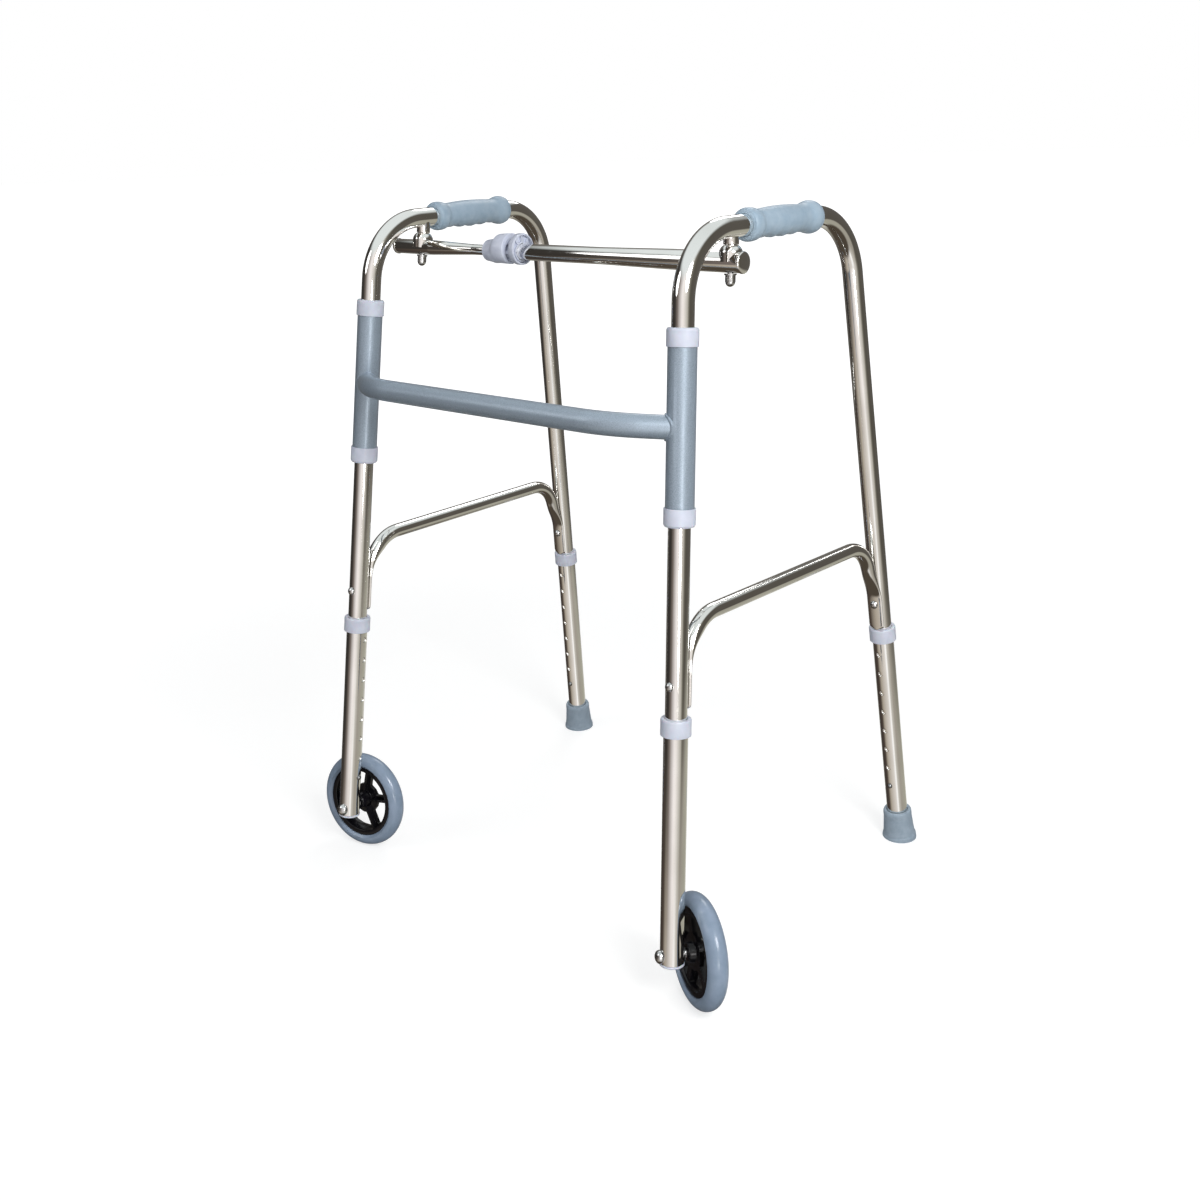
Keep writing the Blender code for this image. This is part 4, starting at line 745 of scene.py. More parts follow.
def brace(side):
    """A round bar whose ends are pressed flat and wrapped against the legs."""
    corners = [
        leg_point(FRONT_LEG, FRONT_RIVET - FRONT_TONGUE_DROP, BRACE_OFFSET),
        meet_height(FRONT_LEG, BRACE_OFFSET, BRACE_FRONT_HEIGHT),
        meet_height(REAR_LEG, -BRACE_OFFSET, BRACE_REAR_HEIGHT),
        leg_point(REAR_LEG, REAR_RIVET - REAR_TONGUE_DROP, -BRACE_OFFSET),
    ]
    path = rounded_path(corners, BRACE_BEND, 4 * BEND_STEPS)
    length = sum((end - start).length for start, end in zip(path, path[1:]))
    steps = round(length / BRACE_STEP)
    reaches = [*BRACE_FIRST_STEPS, *(step * BRACE_STEP for step in range(2, steps // 2))]
    reaches += [length - reach for reach in reversed(reaches)]
    frames = path_frames([point_along(path, reach) for reach in reaches], SIDE_NORMAL)
    rings = []
    for place, reach in zip(frames, reaches):
        wide, flat, lean = brace_section(min(reach, length - reach))
        rings.append((place @ shift(y=-lean), 1, flat, wide))
    wraps = [
        cylinder(leg @ shift(z=height), TUBE_RADIUS + SEAT_GAP, 6 * TONGUE_LENGTH)
        for leg, height in ((FRONT_LEG, FRONT_RIVET), (REAR_LEG, REAR_RIVET))
    ]
    dress_side(side, "brace", drilled(skin(rings), *wraps))


def rivets(side):
    """Domed heads in front, and a pressed tail behind."""
    on_tube = TUBE_RADIUS + SEAT_GAP
    on_brace = TONGUE_FACE + SEAT_GAP
    jobs = (
        ("front", across_leg(FRONT_LEG, FRONT_RIVET), on_tube, on_brace),
        ("rear", across_leg(REAR_LEG, REAR_RIVET), on_brace, on_tube),
    )
    for end, place, head_seat, tail_seat in jobs:
        rows = dome(RIVET_RADIUS, -RIVET_HEIGHT, -head_seat)[::-1]
        rows += [
            (RIVET_SHANK, -head_seat, tail_seat), (TAIL_RADIUS, tail_seat, tail_seat + TAIL_RIM),
            (0.7 * TAIL_RADIUS, tail_seat + TAIL_HEIGHT), (0, tail_seat + TAIL_HEIGHT),
        ]
        dress_side(side, end + "_rivet", spin(rows, SMALL_SIDES), place)


def press_finger_grooves(bm):
    """Draws in the underside of the palm section in waves, one for each finger."""
    for vert in bm.verts:
        across = Vector((vert.co.x, vert.co.y))
        share = (vert.co.z - PALM_START) / PALM_LENGTH
        if not 0 < share < 1 or across.length < TUBE_RADIUS + FINGER_DEPTH:
            continue
        downward = max(0, vert.co.y / across.length)
        wave = 0.5 - 0.5 * cos(2 * pi * FINGER_COUNT * share)
        factor = 1 - FINGER_DEPTH * wave * downward / across.length
        vert.co.x *= factor
        vert.co.y *= factor


def grip(side):
    bore = TUBE_RADIUS + SLIDE_GAP
    outline = smooth_outline([(radius, share * GRIP_LENGTH) for radius, share in GRIP_OUTLINE])
    bm = spin(outline + [(bore, GRIP_LENGTH, 0)])
    press_finger_grooves(bm)
    dress_side(side, "grip", bm, shift(y=GRIP_START, z=HANDLE_HEIGHT) @ ALONG_Y)


# Pieces of the legs

def lower_tube(side, end):
    """Banded along its length, so that each hole cuts only small flat faces."""
    leg, bottom, collar_top, top_hole = LEGS[end]
    top = collar_top - COLLAR_LIP - SEAT_GAP
    holes = [top_hole - step * HOLE_PITCH for step in range(HOLE_COUNT)]
    bands = [bottom + LOWER_EDGE]
    for height in reversed(holes):
        bands += [height - HOLE_BAND, height + HOLE_BAND]
    bands.append(top - LOWER_EDGE)
    bands = [height for height in bands if bottom < height < top]
    rows = [
        (LOWER_BORE, bottom), (LOWER_RADIUS - LOWER_EDGE, bottom), (LOWER_RADIUS, *bands),
        (LOWER_RADIUS - LOWER_EDGE, top), (LOWER_BORE, top, *reversed(bands)),
    ]
    cutter = bmesh.new()
    for height in holes:
        place = radial(CENTRE, height, hole_turn(side, end))
        cylinder(place @ shift(z=LOWER_RADIUS), HOLE_RADIUS, LOWER_RADIUS, SMALL_SIDES, cutter)
    dress_side(side, end + "_lower_tube", drilled(spin(rows), cutter), leg)


def leg_collar(side, end):
    leg, _, top, _ = LEGS[end]
    skirt = LOWER_RADIUS + SEAT_GAP
    outer = COLLAR_RADIUS
    bottom = top - COLLAR_HEIGHT
    rows = [
        (LOWER_BORE, top), (outer - COLLAR_SHOULDER, top), (outer, top - COLLAR_DROP),
        (outer - COLLAR_WAIST, top - COLLAR_HEIGHT / 2), (outer, bottom + COLLAR_FOOT),
        (outer - COLLAR_FOOT, bottom), (skirt, bottom, top - COLLAR_LIP),
        (LOWER_BORE, top - COLLAR_LIP),
    ]
    dress_side(side, end + "_leg_collar", spin(rows, edge=COLLAR_ROUND), leg)


def snap_clip(side, end):
    """The domed button in its hole, with the strip that carries it inside the tube."""
    leg, _, _, top_hole = LEGS[end]
    reach = TUBE_RADIUS - TUBE_WALL - SEAT_GAP - STRIP_INSET
    tip = LOWER_RADIUS + BUTTON_PROUD
    corners = [(reach, STRIP_TOP), (reach, STRIP_BOTTOM), (-reach, STRIP_BOTTOM), (-reach, STRIP_TOP)]
    path = rounded_path([Vector((x, 0, z)) for x, z in corners], 0.8 * reach, STRIP_BEND_STEPS)
    half_diagonal = sqrt(0.5) * STRIP_WIDTH
    flat = STRIP_THICKNESS / STRIP_WIDTH
    frames = path_frames(path, Vector((0, 1, 0)))
    strip = skin([(place, half_diagonal, flat, 1) for place in frames], sides=4)
    head = dome(BUTTON_RADIUS, BUTTON_DOME, tip - BUTTON_DOME)
    button = spin([(0, reach), (BUTTON_RADIUS, reach)] + head, SMALL_SIDES)
    button.transform(turn(pi / 2, "Y"))
    place = leg @ shift(z=top_hole - BUTTON_DROP) @ turn(hole_turn(side, end), "Z")
    give = (BODY_OF[side + "_side_tube"], Vector((-0.9 * reach, 0, 0)), Vector((0.8 * reach, 0, 0)))
    dress_side(side, end + "_snap_clip", joined(strip, button), place, give)


def end_plug(side):
    rim = LOWER_RADIUS + 2 * SEAT_GAP
    seat = FRONT_TUBE_END + PLUG_RIM
    spigot = LOWER_BORE - SEAT_GAP
    rows = [
        (0, FRONT_TUBE_END), (rim, FRONT_TUBE_END, seat), (spigot, seat, seat + PLUG_SPIGOT),
        (0, seat + PLUG_SPIGOT),
    ]
    dress_side(side, "end_plug", spin(rows, edge=PLUG_ROUND), FRONT_LEG)


def rubber_tip(side):
    """A flared foot with a level sole and a rolled rim, pushed over the rear lower tube."""
    socket = LOWER_RADIUS + SEAT_GAP
    outline = [
        (0, TIP_BELOW), (TIP_FOOT, TIP_BELOW, 0.002), (0.985 * TIP_FOOT, 0.0045),
        (0.935 * TIP_FOOT, 0.0062), (0.90 * TIP_FOOT, TIP_FLOOR),
        (TIP_TOP + 0.0002, 0.78 * TIP_HEIGHT), (TIP_TOP + 0.0004, 0.84 * TIP_HEIGHT),
        (TIP_TOP + 0.0002, 0.94 * TIP_HEIGHT), (0.95 * TIP_TOP, TIP_HEIGHT),
        (socket, TIP_HEIGHT, TIP_FLOOR), (0, TIP_FLOOR),
    ]
    bm = spin(outline, edge=TIP_ROUND)
    world = SIDE_AXES @ REAR_LEG
    back = world.inverted()
    up = back.to_3x3() @ Vector((0, 0, 1))
    floor_point = back @ Vector((world.translation.x, world.translation.y, 0))
    everything = bm.verts[:] + bm.edges[:] + bm.faces[:]
    cut = bmesh.ops.bisect_plane(bm, geom=everything, plane_co=floor_point, plane_no=up, clear_inner=True)
    rim = [item for item in cut["geom_cut"] if isinstance(item, bmesh.types.BMEdge)]
    bmesh.ops.edgeloop_fill(bm, edges=rim)
    dress_side(side, "rubber_tip", outward(bm), REAR_LEG)


# Wheels

def axle_fittings(side, place):
    """Domed bolt, spacer between the tube and the hub, and nut."""
    seat = LOWER_RADIUS + SEAT_GAP
    nut_seat = WHEEL_OFFSET + BOSS_LENGTH / 2 + SEAT_GAP
    nut_top = nut_seat + NUT_HEIGHT
    end = nut_top + 3 * SEAT_GAP
    rows = dome(HEAD_RADIUS, HEAD_RIM - HEAD_HEIGHT, -seat - HEAD_RIM)[::-1]
    rows += [
        (HEAD_RADIUS, -seat), (AXLE_RADIUS, -seat, end - AXLE_CHAMFER),
        (AXLE_RADIUS - AXLE_CHAMFER, end), (0, end),
    ]
    dress_side(side, "axle_bolt", spin(rows), place)
    far = seat + SPACER_LENGTH
    rows = [(AXLE_HOLE, seat), (SPACER_RADIUS, seat), (0.8 * SPACER_RADIUS, far), (AXLE_HOLE, far)]
    dress_side(side, "axle_spacer", spin(rows, edge=SEAT_GAP), place)
    middle = shift(z=nut_seat + NUT_HEIGHT / 2)
    nut = cylinder(middle, NUT_RADIUS, NUT_HEIGHT, 6)
    nut = drilled(nut, cylinder(middle, AXLE_HOLE, 4 * NUT_HEIGHT, SMALL_SIDES))
    crown = spin([
        (0, nut_seat), (NUT_RADIUS, nut_seat, nut_seat + 0.8 * NUT_HEIGHT),
        (0.87 * NUT_RADIUS, nut_top), (0, nut_top),
    ])
    dress_side(side, "axle_nut", combine(nut, crown, "INTERSECT"), place)


def hub_rows(side):
    """Boss, web and rim. The web lies off the middle, so the hub is deeper on one face."""
    rim_inside = RIM_RADIUS - RIM_THICKNESS
    faces = []
    for way in (-1, 1):
        boss = way * BOSS_LENGTH / 2
        web = WEB_SHIFT[side] + way * WEB_THICKNESS / 2
        rim = way * RIM_WIDTH / 2
        faces.append([
            (HUB_BORE, boss), (BOSS_RADIUS - HUB_DRAFT, boss), (BOSS_RADIUS, web),
            (rim_inside - HUB_DRAFT, web), (rim_inside, rim), (RIM_RADIUS, rim),
        ])
    return faces[0] + faces[1][::-1]


def window_outline(middle):
    """Outline of a window between two spokes, which keep one width from boss to rim."""
    corners = []
    for radius, shares in ((WINDOW_START, (-1, 0, 1)), (WINDOW_END, (1, 0.5, 0, -0.5, -1))):
        half = SPOKE_STEP / 2 - asin(SPOKE_WIDTH / 2 / radius)
        for share in shares:
            angle = middle + half * share
            corners.append(Vector((radius * cos(angle), radius * sin(angle), 0)))
    return rounded_path(corners, WINDOW_CORNER, CORNER_STEPS, closed=True)


def windows(side):
    """Cutters for the hub's windows, extruded through its web."""
    base = Vector((0, 0, WEB_SHIFT[side] - WEB_THICKNESS))
    bm = bmesh.new()
    for window in range(SPOKE_COUNT):
        outline = window_outline(WINDOW_TURN[side] + window * SPOKE_STEP)
        face = bm.faces.new([bm.verts.new(point + base) for point in outline])
        raised = bmesh.ops.extrude_face_region(bm, geom=[face])["geom"]
        top = [item for item in raised if isinstance(item, bmesh.types.BMVert)]
        bmesh.ops.translate(bm, vec=(0, 0, 2 * WEB_THICKNESS), verts=top)
    return outward(bm)


def spoke_ribs(side):
    """A rib along each spoke on the hub's deeper face, from the boss to the rim."""
    deep = -copysign(1, WEB_SHIFT[side])
    start = BOSS_RADIUS - HUB_DRAFT
    end = RIM_RADIUS - RIM_THICKNESS / 2
    height = RIM_WIDTH / 2
    middle = shift(x=(start + end) / 2, z=WEB_SHIFT[side] + deep * height / 2)
    bm = bmesh.new()
    for spoke in range(SPOKE_COUNT):
        place = turn(WINDOW_TURN[side] + (spoke + 0.5) * SPOKE_STEP, "Z") @ middle
        block(place, (end - start, SPOKE_RIB, height), bm)
    return bm


def wheel(side, place):
    place = place @ shift(z=WHEEL_OFFSET)
    hub = spin(hub_rows(side), WHEEL_SIDES, HUB_ROUND)
    hub = joined(drilled(hub, windows(side)), spoke_ribs(side))
    bmesh.ops.dissolve_degenerate(hub, dist=5 * WELD, edges=hub.edges)
    item = dress_side(side, "wheel_hub", hub, place)
    soften = item.modifiers.new("moulded_edges", "BEVEL")
    soften.width = SOFT_EDGE
    soften.segments = 2
    soften.limit_method = "ANGLE"
    soften.angle_limit = SOFT_ANGLE
    bead = RIM_RADIUS + SEAT_GAP
    half = TYRE_WIDTH / 2
    shoulder = WHEEL_RADIUS - half
    lips = [(bead, 0.8 * half), (bead + TYRE_LIP, 0.86 * half)]
    rows = [(radius, -height) for radius, height in lips]
    for step in range(TYRE_STEPS + 1):
        angle = pi * step / TYRE_STEPS
        rows.append((shoulder + half * sin(angle), -half * cos(angle)))
    dress_side(side, "tyre", spin(rows + lips[::-1], WHEEL_SIDES), place)


# Upper bar, lock and pivots

def along_bar(x):
    """A place on the upper bar's axis with Z pointing to the left side of the walker."""
    return shift(x, BAR_Y, BAR_Z) @ turn(pi / 2, "Y")


def bar_tube(node, outside, bore):
    """A bar tube. The rows of its outside have their heights along the walker's X."""
    start, end = outside[0][1], outside[-1][-1]
    dress(node, spin(outside + [(bore, end, start)], edge=BAR_EDGE), along_bar(0))


def bar_plug(node, place, radius, bore):
    """A domed plug in a bar's open end. The place's Z points out of that end."""
    rim = radius + BUNG_RIM
    spigot = bore - SEAT_GAP
    rows = [(0, -BUNG_DEPTH), (spigot, -BUNG_DEPTH, SEAT_GAP), (rim, SEAT_GAP)]
    rows += dome(rim, BUNG_DOME, SEAT_GAP + BUNG_WALL)
    dress(node, spin(rows), place)


def upper_bar():
    outer_end = PIVOT_X + OUTER_TAIL
    bar_tube("outer_bar", [
        (OUTER_THIN, LOCK_BACK_X + LOCK_WEB + SEAT_GAP, OUTER_TAPER[0]),
        (OUTER_RADIUS, OUTER_TAPER[1], outer_end),
    ], OUTER_BORE)
    bar_plug("outer_bar_plug", along_bar(outer_end), OUTER_RADIUS, OUTER_BORE)
    inner_start = -PIVOT_X - INNER_TAIL
    bar_tube("inner_bar", [
        (INNER_RADIUS, inner_start, INNER_TAPER[0]),
        (INNER_THIN, INNER_TAPER[1], INNER_END_X),
    ], INNER_BORE)
    back = along_bar(inner_start) @ turn(pi, "X")
    bar_plug("inner_bar_plug", back, INNER_RADIUS, INNER_BORE)


def raised_rings(stations):
    """Skin through (x, radius, raise) rings, each raised above the bar's axis."""
    return skin([(shift(x=-lift, z=x), radius, 1, 1) for x, radius, lift in stations])


def lock_flange():
    """The fixed half of the lock: web and ribbed neck on the outer bar's end, and an open hood."""
    length = FLANGE_LENGTH
    outer = FLANGE_RADIUS
    hollow = outer - LOCK_WALL
    rims = [(way, outer - inward, LOCK_RAISE) for way, inward in LOCK_ROUND]
    rims += [(length - way, outer - inward, LOCK_RAISE) for way, inward in MOUTH_ROUND]
    hood = raised_rings([(LOCK_WEB, hollow, LOCK_RAISE), (2 * length, hollow, LOCK_RAISE)])
    hub = cylinder(shift(z=length / 4), LOCK_HUB_RADIUS, length)
    reach = outer - LOCK_WALL / 2
    middle = shift(x=LOCK_WALL - LOCK_RAISE - reach / 2, z=0.4 * length)
    mouth_ribs = [
        block(turn(radians(angle), "Z") @ middle, (reach, MOUTH_RIB, 0.7 * length))
        for angle in MOUTH_RIB_ANGLES
    ]
    root = LOCK_WEB / 2
    neck = root + NECK_LENGTH
    core = cylinder(shift(z=root - neck / 2), LOCK_CORE_RADIUS, neck)
    neck_ribs = bmesh.new()
    middle = shift(x=(NECK_RADIUS + OUTER_BORE) / 2, z=root - neck / 2)
    for rib in range(NECK_RIB_COUNT):
        place = turn((rib + 0.5) * 2 * pi / NECK_RIB_COUNT, "Z") @ middle
        block(place, (NECK_RADIUS - OUTER_BORE, NECK_RIB, neck), neck_ribs)
    body = joined(drilled(raised_rings(rims), hood), hub, *mouth_ribs, core, neck_ribs)
    guide = cylinder(CENTRE, OUTER_BORE, 4 * NECK_LENGTH)
    socket = cylinder(shift(z=LOCK_WEB + length), OUTER_THIN + SLIDE_GAP, 2 * length)
    dress("lock_flange", drilled(body, guide, socket), along_bar(LOCK_BACK_X))


def lock_cup():
    """The sliding half of the lock: a bell over the neck, flowing up into a raised hood."""
    rim = FLANGE_RADIUS - SLIDE_GAP
    tip = CUP_TIP
    grow = rim - tip
    stations = [(way - CUP_LENGTH, tip - inward, 0) for way, inward in CUP_TIP_ROUND]
    stations.append((-(CUP_LENGTH + CUP_STEP) / 2, tip + 0.22 * grow, 0))
    for step in range(SLOPE_STEPS + 1):
        t = step / SLOPE_STEPS
        ease = t * t * (3 - 2 * t)
        radius = tip + grow * (0.4 + 0.45 * ease)
        stations.append((CUP_SLOPE * (t - 1) - CUP_STEP, radius, 0.9 * LOCK_RAISE * ease))
    stations += [(-way, rim - inward, LOCK_RAISE) for way, inward in reversed(LOCK_ROUND)]
    chamber = cylinder(CENTRE, NECK_RADIUS + 2 * SLIDE_GAP, 2 * NECK_LENGTH)
    bore = cylinder(CENTRE, CUP_BORE, 4 * CUP_LENGTH)
    dress("lock_cup", drilled(raised_rings(stations), chamber, bore), along_bar(CUP_RIM_X))


def pivot_fittings(side, bar_radius):
    """Lug welded under the handle, saddle on the bar, stud and cap nut."""
    to_pivot = PIVOT_AXES.inverted()
    clear = bar_radius + PIVOT_GAP
    top = HANDLE_HEIGHT - PIVOT_POINT.z
    lug = spin([(0, LUG_BOTTOM), (LUG_RADIUS, LUG_BOTTOM, top), (0, top)], edge=LUG_EDGE)
    handle = to_pivot @ shift(y=PIVOT_POINT.y, z=HANDLE_HEIGHT) @ ALONG_Y
    lug = drilled(lug, cylinder(handle, TUBE_RADIUS + LUG_SEAT, ACROSS_LUG))
    dress_side(side, "bar_lug", lug, PIVOT_AXES)
    saddle_top = LUG_BOTTOM - SEAT_GAP
    outline = smooth_outline([
        (SADDLE_FOOT, 0), (SADDLE_FOOT, 0.45 * saddle_top),
        (0.97 * SADDLE_FOOT, 0.66 * saddle_top), (0.8 * SADDLE_FOOT, 0.88 * saddle_top),
        (SADDLE_TOP, saddle_top),
    ])
    saddle = spin([(SADDLE_BORE, 0)] + outline + [(SADDLE_BORE, saddle_top)])
    bar = to_pivot @ SIDE_AXES.inverted() @ along_bar(PIVOT_X)
    saddle = drilled(saddle, cylinder(bar, bar_radius + SEAT_GAP, ACROSS_LUG))
    dress_side(side, "bar_saddle", saddle, PIVOT_AXES)
    tip = -clear - CAP_LENGTH
    start = tip + CAP_CROWN
    end = LUG_BOTTOM + STUD_IN_LUG
    stud = spin([(0, start), (STUD_RADIUS, start, end), (0, end)], SMALL_SIDES)
    dress_side(side, "pivot_stud", stud, PIVOT_AXES)
    flange = 1.2 * CAP_RADIUS
    shoulder = -clear - CAP_FLANGE
    crown_seat = tip + 0.9 * CAP_RADIUS
    skirt = [(0, -clear), (flange, -clear, shoulder), (CAP_RADIUS, shoulder - CAP_SLOPE, crown_seat)]
    crown = dome(0.94 * CAP_RADIUS, -0.9 * CAP_RADIUS, crown_seat)
    bore = cylinder(shift(z=-clear), CAP_BORE, 2 * (CAP_LENGTH - CAP_CROWN), SMALL_SIDES)
    dress_side(side, "cap_nut", drilled(spin(skirt + crown), bore), PIVOT_AXES)


# Painted frame in the middle

def cross_frames():
    """Centre line frames of the cross tube, from the right sleeve's axis to the left one."""
    leg = SIDE_AXES @ FRONT_LEG
    left = leg @ Vector((0, 0, SLEEVE_MIDDLE))
    upward = leg.to_3x3() @ Vector((0, 0, 1))
    normal = Vector((0, upward.y, upward.z)).normalized()
    forward = Vector((1, 0, 0)).cross(normal)
    inward = CROSS_FORWARD / tan(CROSS_END_ANGLE)
    left_corner = left + forward * CROSS_FORWARD - Vector((inward, 0, 0))
    path = [MIRROR @ left, MIRROR @ left_corner, left_corner, left]
    return path_frames(rounded_path(path, CROSS_BEND), normal)


def sleeve_body(side, radius, length):
    """A cylinder round one front leg, level with the middle of its sleeve."""
    bm = cylinder(side_world(side, FRONT_LEG @ shift(z=SLEEVE_MIDDLE)), radius, length)
    if side == "right":
        bmesh.ops.reverse_faces(bm, faces=bm.faces)
    return bm


def middle_frame():
    """Cross tube and sleeves, joined with a bead of weld under the enamel."""
    frames = cross_frames()
    bm = rod(frames, CROSS_RADIUS)
    length = BEARING_TOP - BEARING_BOTTOM - 2 * (COLLAR_LIP + SEAT_GAP)
    for side in SIDES:
        round_sleeve = sleeve_body(side, SLEEVE_RADIUS + WELD_BEAD, length)
        bead = combine(rod(frames, CROSS_RADIUS + WELD_BEAD), round_sleeve, "INTERSECT")
        bm = joined(bm, sleeve_body(side, SLEEVE_RADIUS, length), bead)
    bores = [sleeve_body(side, SLEEVE_RADIUS - SLEEVE_WALL, 2 * length) for side in SIDES]
    dress("h_frame", drilled(bm, *bores), CENTRE)


def sleeve_collar(side, level):
    """A bearing ring: lip over the sleeve's end, skirt outside it and spigot inside it."""
    bore = TUBE_RADIUS + SEAT_GAP
    skirt = SLEEVE_RADIUS + SEAT_GAP
    spigot = SLEEVE_RADIUS - SLEEVE_WALL - SEAT_GAP
    outer = BEARING_RADIUS
    spigot_end = -COLLAR_LIP - BEARING_SPIGOT
    rows = [
        (bore, 0), (outer - BEARING_SHOULDER, 0), (outer, -BEARING_DROP, -BEARING_HEIGHT),
        (skirt, -BEARING_HEIGHT, -COLLAR_LIP), (spigot, -COLLAR_LIP, spigot_end),
        (bore, spigot_end),
    ]
    place = FRONT_LEG @ shift(z=BEARING_TOP)
    if level == "bottom":
        place = FRONT_LEG @ shift(z=BEARING_BOTTOM) @ turn(pi, "X")
    dress_side(side, level + "_sleeve_collar", spin(rows, edge=BEARING_ROUND), place)


def walker():
    refinish_nodes()
    middle_frame()
    upper_bar()
    lock_flange()
    lock_cup()
    for side, bar_radius in zip(SIDES, (OUTER_RADIUS, INNER_RADIUS)):
        side_tube(side)
        brace(side)
        rivets(side)
        grip(side)
        pivot_fittings(side, bar_radius)
        for level in ("top", "bottom"):
            sleeve_collar(side, level)
        for end in LEGS:
            lower_tube(side, end)
            leg_collar(side, end)
            snap_clip(side, end)
        end_plug(side)
        rubber_tip(side)
        place = axle_place(side)
        axle_fittings(side, place)
        wheel(side, place)


# Stage, light and camera

FLOOR_RADIUS = 30
FLOOR_SIDES = 64
# The floor's own glow toward the camera rises between two distances, from one strength to the other
GLOW_FADE = (0.7, 3, 0.68, 1)


def floor():
    """A white floor that keeps soft shadows and has no edge in view."""
    bm = bmesh.new()
    bmesh.ops.create_circle(bm, cap_ends=True, segments=FLOOR_SIDES, radius=FLOOR_RADIUS)
    material, tree, shader, place = new_finish("white_paper", Roughness=0.9)
    tint(tree, shader, grain(tree, place, 3), "#B2B2B0", "#B6B6B4")
    light = add_node(tree, "LightPath")
    away = add_node(tree, "VectorMath", {"operation": "LENGTH"}, links={0: place})
    fade = fade_between(tree, away.outputs["Value"], *GLOW_FADE)
    seen = add_node(tree, "Math", {"operation": "MULTIPLY"},
                    links={0: fade, 1: light.outputs["Is Camera Ray"]})
    glow = add_node(tree, "Emission", links={"Strength": seen.outputs[0]})
    both = add_node(tree, "AddShader", links={0: shader.outputs[0], 1: glow.outputs[0]})
    tree.links.new(both.outputs[0], tree.nodes["Material Output"].inputs["Surface"])
    item = mesh_object("studio_floor", bm)
    item.data.materials.append(material)
    item.visible_glossy = False


# The room that polished metal mirrors: (degrees to the right of the camera's own direction, colour).
# At eye level a white wall behind the camera, grey to its sides, and dark curtains beyond that
ROOM_LEVEL = (
    (-180, "#78746E"), (-122, "#343230"), (-88, "#3A3632"), (-61, "#7A706A"), (-16, "#FAF4F2"),
    (0, "#F8F2EE"), (41, "#B8B4AA"), (54, "#747066"), (68, "#56524A"), (150, "#5E5A56"),
    (180, "#78746E"),
)
# Lower down a bright sheet in front of the camera, warm grey paper, and one dark side
ROOM_BELOW = (
    (-180, "#9A968A"), (-142, "#3A3432"), (-98, "#4E443C"), (-70, "#B0A698"), (-4, "#E2DCD6"),
    (5, "#FFFFFF"), (15, "#FFFCF8"), (24, "#CAC6BE"), (52, "#A49E94"), (120, "#AAA89A"),
    (155, "#D2D0C6"), (180, "#9A968A"),
)
ROOM_UNDER = "#4E463C"
ROOM_HIGH = "#E6ECEC"
# Where one part of the room fades into the next, by the height that a ray points to
BELOW_FADE = (-0.28, -0.42)
UNDER_FADE = (-0.64, -0.80)
HIGH_FADE = (0.48, 0.74)
SOFT_LIGHT = (0.36, 0.37, 0.39, 1)
WHITE = (1, 1, 1, 1)

AZIMUTH = radians(41.01)
PITCH = radians(-14.74)
ROLL = radians(-1.857)
CAMERA_PLACE = (0.99597, -1.16649, 0.87304)
CAMERA_SHIFT = -0.1
SENSOR_WIDTH = 36
FOCAL_LENGTH = SENSOR_WIDTH * 1354.92 / 1200

# Lamps: degrees to the right of the camera, distance, height, diameter and power in watts
LAMPS = {
    "key_lamp": (24, 1.8, 1.5, 0.85, 25),
    "low_lamp": (11, 2.6, 0.3, 0.7, 8),
    "fill_lamp": (-75, 2.6, 1.8, 1.4, 10),
    "back_lamp": (165, 2.2, 2.4, 1.2, 12),
}
LAMP_AIM = Vector((0, 0, 0.4))


def fade_between(tree, value, start, end, low=0, high=1):
    """A smooth step from low to high as the value goes from start to end."""
    values = {"From Min": start, "From Max": end, "To Min": low, "To Max": high}
    return add_node(tree, "MapRange", {"interpolation_type": "SMOOTHSTEP"},
                    values, {"Value": value}).outputs["Result"]


def blend_colours(tree, share, first, second):
    """Goes from the first colour to the second. Each is a socket or a plain colour."""
    node = add_node(tree, "Mix", {"data_type": "RGBA"}, links={"Factor": share})
    for socket, colour in ((node.inputs[6], first), (node.inputs[7], second)):
        if isinstance(colour, bpy.types.NodeSocket):
            tree.links.new(colour, socket)
        else:
            socket.default_value = colour
    return node.outputs[2]


def colour_round(tree, share, colours):
    """The colour at a share of the way round, from a list by angle."""
    ramp = add_node(tree, "ValToRGB", links={"Fac": share})
    elements = ramp.color_ramp.elements
    for angle, colour in colours[1:-1]:
        elements.new((angle + 180) / 360).color = linear(colour)
    elements[0].color = linear(colours[0][1])
    elements[len(elements) - 1].color = linear(colours[-1][1])
    return ramp.outputs["Color"]


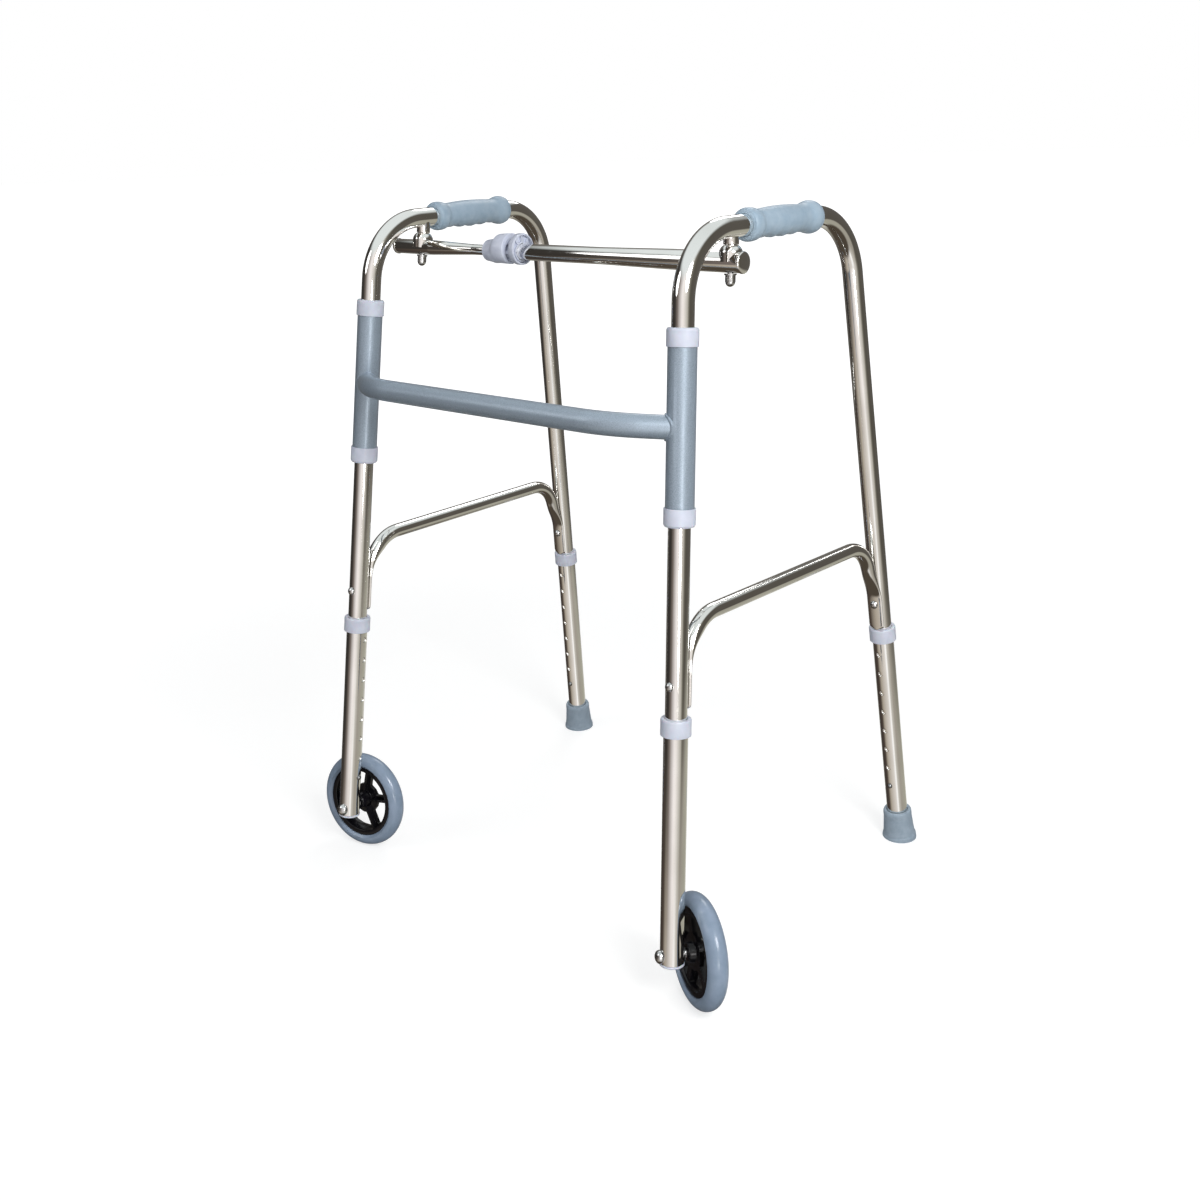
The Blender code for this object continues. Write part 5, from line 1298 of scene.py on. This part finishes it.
def studio_world():
    """White behind the object, plain soft light on it, and a room of warm and dark bands in the metal."""
    world = bpy.data.worlds.new("studio")
    bpy.context.scene.world = world
    world.use_nodes = True
    tree = world.node_tree
    way = add_node(tree, "TexCoord").outputs["Generated"]
    turned = add_node(tree, "Mapping", {"vector_type": "POINT"}, links={"Vector": way})
    turned.inputs["Rotation"].default_value = (0, 0, pi / 2 - AZIMUTH)
    parts = add_node(tree, "SeparateXYZ", links={"Vector": turned.outputs["Vector"]})
    angle = add_node(tree, "Math", {"operation": "ARCTAN2"},
                     links={0: parts.outputs["Y"], 1: parts.outputs["X"]})
    share = add_node(tree, "MapRange", values={"From Min": -pi, "From Max": pi},
                     links={"Value": angle.outputs[0]}).outputs["Result"]
    room = colour_round(tree, share, ROOM_LEVEL)
    others = (
        (BELOW_FADE, colour_round(tree, share, ROOM_BELOW)),
        (UNDER_FADE, linear(ROOM_UNDER)),
        (HIGH_FADE, linear(ROOM_HIGH)),
    )
    for fade, colour in others:
        room = blend_colours(tree, fade_between(tree, parts.outputs["Z"], *fade), room, colour)
    light = add_node(tree, "LightPath")
    lit = blend_colours(tree, light.outputs["Is Glossy Ray"], SOFT_LIGHT, room)
    seen = blend_colours(tree, light.outputs["Is Camera Ray"], lit, WHITE)
    tree.links.new(seen, tree.nodes["Background"].inputs["Color"])


def lamps():
    """Round lamps aimed at the walker."""
    for name, (angle, distance, height, size, power) in LAMPS.items():
        data = bpy.data.lights.new(name, "AREA")
        data.shape = "DISK"
        data.size = size
        data.energy = power
        bearing = AZIMUTH + radians(angle)
        place = Vector((distance * sin(bearing), -distance * cos(bearing), height))
        item = add_object(name, data)
        item.location = place
        item.rotation_euler = (LAMP_AIM - place).to_track_quat("-Z", "Y").to_euler()
        item.visible_camera = False


def camera():
    """The photograph's view: from the front left, a little above the handles."""
    data = bpy.data.cameras.new("photo_camera")
    data.sensor_width = SENSOR_WIDTH
    data.lens = FOCAL_LENGTH
    data.shift_y = CAMERA_SHIFT
    across = Vector((cos(AZIMUTH), sin(AZIMUTH), 0))
    inward = Vector((-sin(AZIMUTH), cos(AZIMUTH), 0))
    ahead = inward * cos(PITCH) + Vector((0, 0, sin(PITCH)))
    right = across * cos(ROLL) + across.cross(ahead) * sin(ROLL)
    axes = Matrix((right, right.cross(ahead), -ahead)).transposed().to_4x4()
    item = add_object("photo_camera", data)
    item.matrix_world = shift(*CAMERA_PLACE) @ axes
    bpy.context.scene.camera = item


walker()
floor()
studio_world()
lamps()
camera()
bpy.context.scene.view_settings.view_transform = "Standard"
